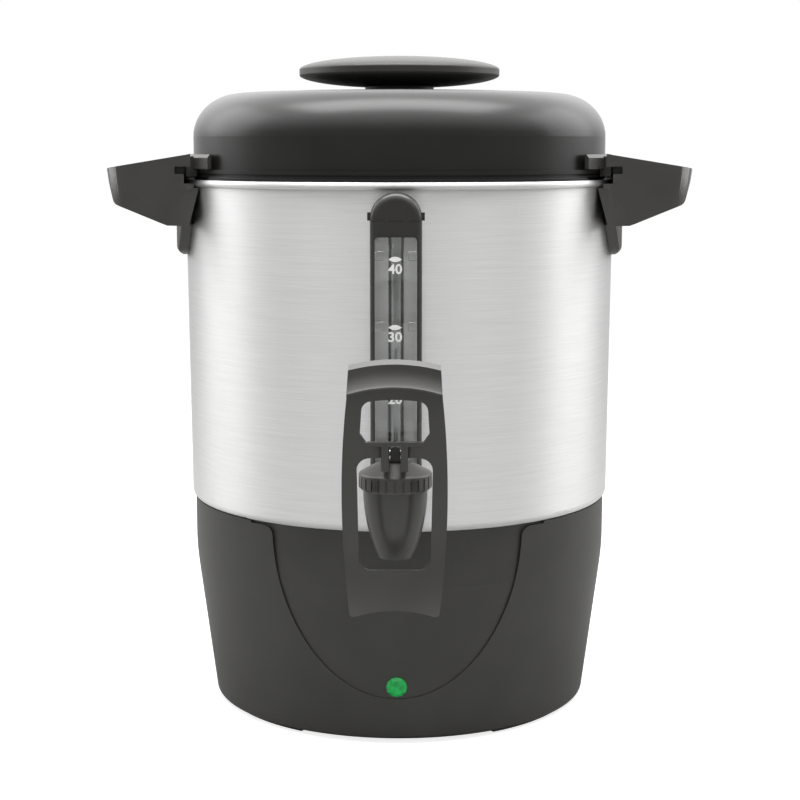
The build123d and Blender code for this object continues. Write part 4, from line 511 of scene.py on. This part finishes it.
def made_plain(piece):
    """The evaluated mesh of an object with modifiers, or of a text, as a mesh of its own."""
    graph = bpy.context.evaluated_depsgraph_get()
    return bpy.data.meshes.new_from_object(piece.evaluated_get(graph), depsgraph=graph)


def triangles(mesh):
    """How many triangles a mesh has."""
    return sum(len(polygon.vertices) - 2 for polygon in mesh.polygons)


print("window bow, mm:", round(pane_bow / MM, 2), "front at y", round(window_low.y / MM, 2))

# %% [markdown]
# White screen ink is printed on the window. The print is given a faint glow of its own, which is
# painted light: it makes the print look whiter than the light on it allows.

# %% Print finish
# painted light: the print glows a little, so it comes out whiter than its lighting makes it
PRINT_PAINTED_GLOW = 0.28
INK_GRAIN_MM = 0.6

ink = new_finish(
    "raised_white_print", IOR=1.5, Emission_Color=plain_white, Emission_Strength=PRINT_PAINTED_GLOW
)
vary(ink, grain(ink, INK_GRAIN_MM), ("#eeeeea", "#f8f8f5"), (0.4, 0.55))
print("print stands out, mm:", PRINT_RELIEF / MM)

# %% [markdown]
# ### The marks as Geometry Nodes
# The tree has the marks' sizes as named inputs. It makes one mark from a flat strip, gives it a
# back and sides, and then repeats it up the window.

# %% Inputs of the marks' tree
marks_tree = bpy.data.node_groups.new("scale_marks", "GeometryNodeTree")
mark_inputs = {}
for title, kind, value in (
    ("Width", "NodeSocketFloat", MARK_WIDTH),
    ("Thickness", "NodeSocketFloat", MARK_THICKNESS),
    ("Relief", "NodeSocketFloat", PRINT_RELIEF),
    ("Marks", "NodeSocketInt", MARK_COUNT),
    ("Step", "NodeSocketFloat", TEN_CUPS),
    ("Top rise", "NodeSocketFloat", BASKET_RISE),
    ("Finish", "NodeSocketMaterial", ink),
):
    socket = marks_tree.interface.new_socket(name=title, in_out="INPUT", socket_type=kind)
    mark_inputs[socket.identifier] = value
marks_tree.interface.new_socket(
    name="Geometry", in_out="OUTPUT", socket_type="NodeSocketGeometry"
)
given = add_node(marks_tree, "NodeGroupInput").outputs
print("inputs of the tree:", len(mark_inputs))

# %% [markdown]
# A mark's edge is a parabola: its half height falls off as the square of the way to its tip,
# and is nothing at the tip. The strip is one unit high to begin with, so each point's height is
# its share of the mark's thickness there.

# %% Outline of one mark
POINTS_ALONG, POINTS_ACROSS = 21, 3

grid = {
    "Size X": given["Width"],
    "Size Y": 1.0,
    "Vertices X": POINTS_ALONG,
    "Vertices Y": POINTS_ACROSS,
}
strip = add_node(marks_tree, "GeometryNodeMeshGrid", grid)
position = add_node(marks_tree, "GeometryNodeInputPosition")
spot = add_node(marks_tree, "ShaderNodeSeparateXYZ", {0: position}).outputs
MATH = "ShaderNodeMath"
half_width = add_node(marks_tree, MATH, {0: given["Width"], 1: 2.0}, operation="DIVIDE")
to_tip = add_node(marks_tree, MATH, {0: spot["X"], 1: half_width}, operation="DIVIDE")
squared = add_node(marks_tree, MATH, {0: to_tip, 1: to_tip}, operation="MULTIPLY")
swell = add_node(marks_tree, MATH, {0: 1.0, 1: squared}, operation="SUBTRACT")
thick = add_node(marks_tree, MATH, {0: swell, 1: given["Thickness"]}, operation="MULTIPLY")
height = add_node(marks_tree, MATH, {0: spot["Y"], 1: thick}, operation="MULTIPLY")
outline = add_node(marks_tree, "ShaderNodeCombineXYZ", {"X": spot["X"], "Z": height})
flat_mark = add_node(
    marks_tree, "GeometryNodeSetPosition", {"Geometry": strip, "Position": outline}
)
print("points in a mark's outline:", POINTS_ALONG * POINTS_ACROSS)

# %% Body of one mark
MERGE_WITHIN = 0.01 * MM

depth = add_node(marks_tree, MATH, {0: given["Relief"], 1: -1.0}, operation="MULTIPLY")
forward = add_node(marks_tree, "ShaderNodeCombineXYZ", {"Y": depth})
thickened = {"Mesh": flat_mark, "Offset": forward, "Individual": False}
raised = add_node(marks_tree, "GeometryNodeExtrudeMesh", thickened)
back = add_node(marks_tree, "GeometryNodeFlipFaces", {0: flat_mark})
closed = add_node(marks_tree, "GeometryNodeJoinGeometry")
for part in (raised, back):
    marks_tree.links.new(part.outputs[0], closed.inputs[0])
mark = add_node(
    marks_tree, "GeometryNodeMergeByDistance", {"Geometry": closed, "Distance": MERGE_WITHIN}
)
print("nodes for one mark:", len(marks_tree.nodes))

# %% The ladder of marks
WITHIN = 0.5  # how near two whole numbers are when they count as the same

rung = add_node(marks_tree, "ShaderNodeCombineXYZ", {"Z": given["Step"]})
ladder = add_node(
    marks_tree, "GeometryNodeMeshLine", {"Count": given["Marks"], "Offset": rung}, mode="OFFSET"
)
index = add_node(marks_tree, "GeometryNodeInputIndex")
last = add_node(marks_tree, MATH, {0: given["Marks"], 1: 1.0}, operation="SUBTRACT")
is_last = add_node(marks_tree, MATH, {0: index, 1: last, 2: WITHIN}, operation="COMPARE")
rise = add_node(marks_tree, MATH, {0: is_last, 1: given["Top rise"]}, operation="MULTIPLY")
lift = add_node(marks_tree, "ShaderNodeCombineXYZ", {"Z": rise})
places = add_node(marks_tree, "GeometryNodeSetPosition", {"Geometry": ladder, "Offset": lift})
marks = add_node(
    marks_tree, "GeometryNodeInstanceOnPoints", {"Points": places, "Instance": mark}
)
real = add_node(marks_tree, "GeometryNodeRealizeInstances", {0: marks})
coating = {"Geometry": real, "Material": given["Finish"]}
coated = add_node(marks_tree, "GeometryNodeSetMaterial", coating)
add_node(marks_tree, "NodeGroupOutput", {0: coated})
print("nodes in the tree:", len(marks_tree.nodes))

# %% Marks
carrier = bpy.data.objects.new("mark_carrier", bpy.data.meshes.new("mark_carrier"))
scene.collection.objects.link(carrier)
maker = carrier.modifiers.new("scale_marks", "NODES")
maker.node_group = marks_tree
for identifier, value in mark_inputs.items():
    maker[identifier] = value
marks_mesh = made_plain(carrier)
bpy.data.objects.remove(carrier)
marks_mesh.transform(Matrix.Translation((SCALE_X, 0.0, LOW_MARK_Z)))
lay_on_window(marks_mesh)
new_piece("gauge_scale_marks", marks_mesh, "urn", ink)
print("mark triangles:", triangles(marks_mesh))

# %% [markdown]
# ### The numbers
# A font gives a number its own width and height. So each text is measured, and its points are
# then placed by their share of that box, which makes every number exactly as wide and as high
# as the scale asks.

# %% Numbers
LETTER_WEIGHT = 0.022
CURVE_STEPS = 4
HALF_DEPTH = 0.5
JOIN_WITHIN = 0.001 * MM

numbers = bmesh.new()
for step_up in range(MARK_COUNT):
    label = bpy.data.curves.new("cups", "FONT")
    label.body = str(CUPS_A_MARK * (step_up + 1))
    label.extrude = HALF_DEPTH
    label.offset = LETTER_WEIGHT
    label.resolution_u = CURVE_STEPS
    writing = bpy.data.objects.new("cups", label)
    scene.collection.objects.link(writing)
    mesh = made_plain(writing)
    bpy.data.objects.remove(writing)
    spans = [[v.co[axis] for v in mesh.vertices] for axis in range(3)]
    lows = [min(span) for span in spans]
    extents = [max(span) - min(span) for span in spans]
    for vertex in mesh.vertices:
        across, up, deep = [(vertex.co[i] - lows[i]) / extents[i] for i in range(3)]
        vertex.co = (
            SCALE_X + (across - 0.5) * NUMBER_WIDTH,
            -deep * PRINT_RELIEF,
            mark_z(step_up) - NUMBER_DROP + (up - 0.5) * NUMBER_HEIGHT,
        )
    numbers.from_mesh(mesh)
bmesh.ops.remove_doubles(numbers, verts=numbers.verts, dist=JOIN_WITHIN)
numbers_mesh = bpy.data.meshes.new("gauge_numbers")
numbers.to_mesh(numbers_mesh)
numbers.free()
lay_on_window(numbers_mesh)
new_piece("gauge_numbers", numbers_mesh, "urn", ink)
print("number triangles:", triangles(numbers_mesh))

# %% [markdown]
# ## Softened edges on the window
# A moulded pane has no knife edges: the mould rounds them by some tenths of a millimetre. On a
# clear piece that matters, because a rounded edge gathers light from every side and draws the
# bright outline that makes clear plastic readable. The CAD pane is loose triangles, which a
# bevel can't round, so a Bevel modifier works on a merged copy, and the copy stands in for it.

# %% Helpers for copies of CAD pieces
def merged_copy(name):
    """The mesh of a CAD node with its loose triangles joined."""
    shape = bmesh.new()
    shape.from_mesh(nodes[name].data)
    bmesh.ops.remove_doubles(shape, verts=shape.verts, dist=JOIN_WITHIN)
    mesh = bpy.data.meshes.new(name + "_copy")
    shape.to_mesh(mesh)
    shape.free()
    return mesh


def shade_by_angle(mesh, degrees):
    """Round shading, but with a sharp edge wherever two faces meet at a larger angle."""
    mesh.shade_smooth()
    mesh.set_sharp_from_angle(angle=math.radians(degrees))


print("points that count as one, mm apart:", JOIN_WITHIN / MM)

# %% Window with rounded edges
EDGE_RADIUS = 0.45 * MM
EDGE_SEGMENTS = 3
ROUNDED_ABOVE_DEGREES = 35.0
SHARP_ABOVE_DEGREES = 40.0

pane = bpy.data.objects.new("pane", merged_copy("gauge_window"))
scene.collection.objects.link(pane)
rounding = pane.modifiers.new("rounded_edges", "BEVEL")
rounding.width = EDGE_RADIUS
rounding.segments = EDGE_SEGMENTS
rounding.limit_method = "ANGLE"
rounding.angle_limit = math.radians(ROUNDED_ABOVE_DEGREES)
rounding.use_clamp_overlap = True
pane_mesh = made_plain(pane)
bpy.data.objects.remove(pane)
shade_by_angle(pane_mesh, SHARP_ABOVE_DEGREES)
soft_window = new_piece("gauge_window_rounded", pane_mesh, "urn", window_plastic)
soft_window.visible_shadow = False
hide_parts("gauge_window")
print("window triangles:", triangles(pane_mesh))

# %% [markdown]
# ## The hoods' outer corners
# Seen from the front, a hood handle is a wedge: its underside rises towards the tip, and its
# front face leans in. The lean brings the fingers under the hood. A merged copy of each handle
# is drawn up and in, most at the lower outer corner and not at all where it meets the vessel, so
# the screws and the bracket stay where they are. The two cheeks beside the vessel slant away
# from it towards their lower end. A new model of the hood could do the same, but moving the
# points of a copy keeps every rib and hole of the CAD handle, and one rule does both sides.

# %% Sizes of the hoods
HOOD_ROOT_X = 129.2 * MM
CAD_ROOF_Z = 299.4 * MM
ROOF_SLOPE = 0.16
CORNER_LIFT = 4.6 * MM
CORNER_DRAW = 2.8 * MM
CHEEK_Y = 44.0 * MM
CHEEK_TOP_Z = 291.0 * MM
CHEEK_END_X = 113.0 * MM
CHEEK_SLANT = 0.285
CHEEK_BLEND = 7.0 * MM
HOOD_SHARP_DEGREES = 25.0


def share(value):
    """A share of a movement, kept between none and all of it."""
    return max(0.0, min(1.0, value))


print("hood corner goes up and in, mm:", round(CORNER_LIFT / MM, 1), round(CORNER_DRAW / MM, 1))

# %% Hoods
for side, name in ((1.0, "handle_right"), (-1.0, "handle_left")):
    hood = merged_copy(name)
    tip = max(side * v.co.x for v in hood.vertices)
    outer = [v for v in hood.vertices if side * v.co.x > HOOD_ROOT_X]
    hood_low = min(v.co.z for v in outer)
    for vertex in outer:
        outward = (side * vertex.co.x - HOOD_ROOT_X) / (tip - HOOD_ROOT_X)
        roof_z = CAD_ROOF_Z + ROOF_SLOPE * (tip - side * vertex.co.x)
        downward = share((roof_z - vertex.co.z) / (roof_z - hood_low))
        vertex.co.z += CORNER_LIFT * outward * downward
        vertex.co.x -= side * CORNER_DRAW * outward * downward
    for vertex in hood.vertices:
        inward = share((CHEEK_END_X - side * vertex.co.x) / CHEEK_BLEND)
        if abs(vertex.co.y) > CHEEK_Y and vertex.co.z < CHEEK_TOP_Z:
            vertex.co.x += side * CHEEK_SLANT * (CHEEK_TOP_Z - vertex.co.z) * inward
    shade_by_angle(hood, HOOD_SHARP_DEGREES)
    piece = new_piece(name + "_hood", hood, "urn", finishes[name])
    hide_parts(name)
    print(name, "vertices drawn:", len(outer))
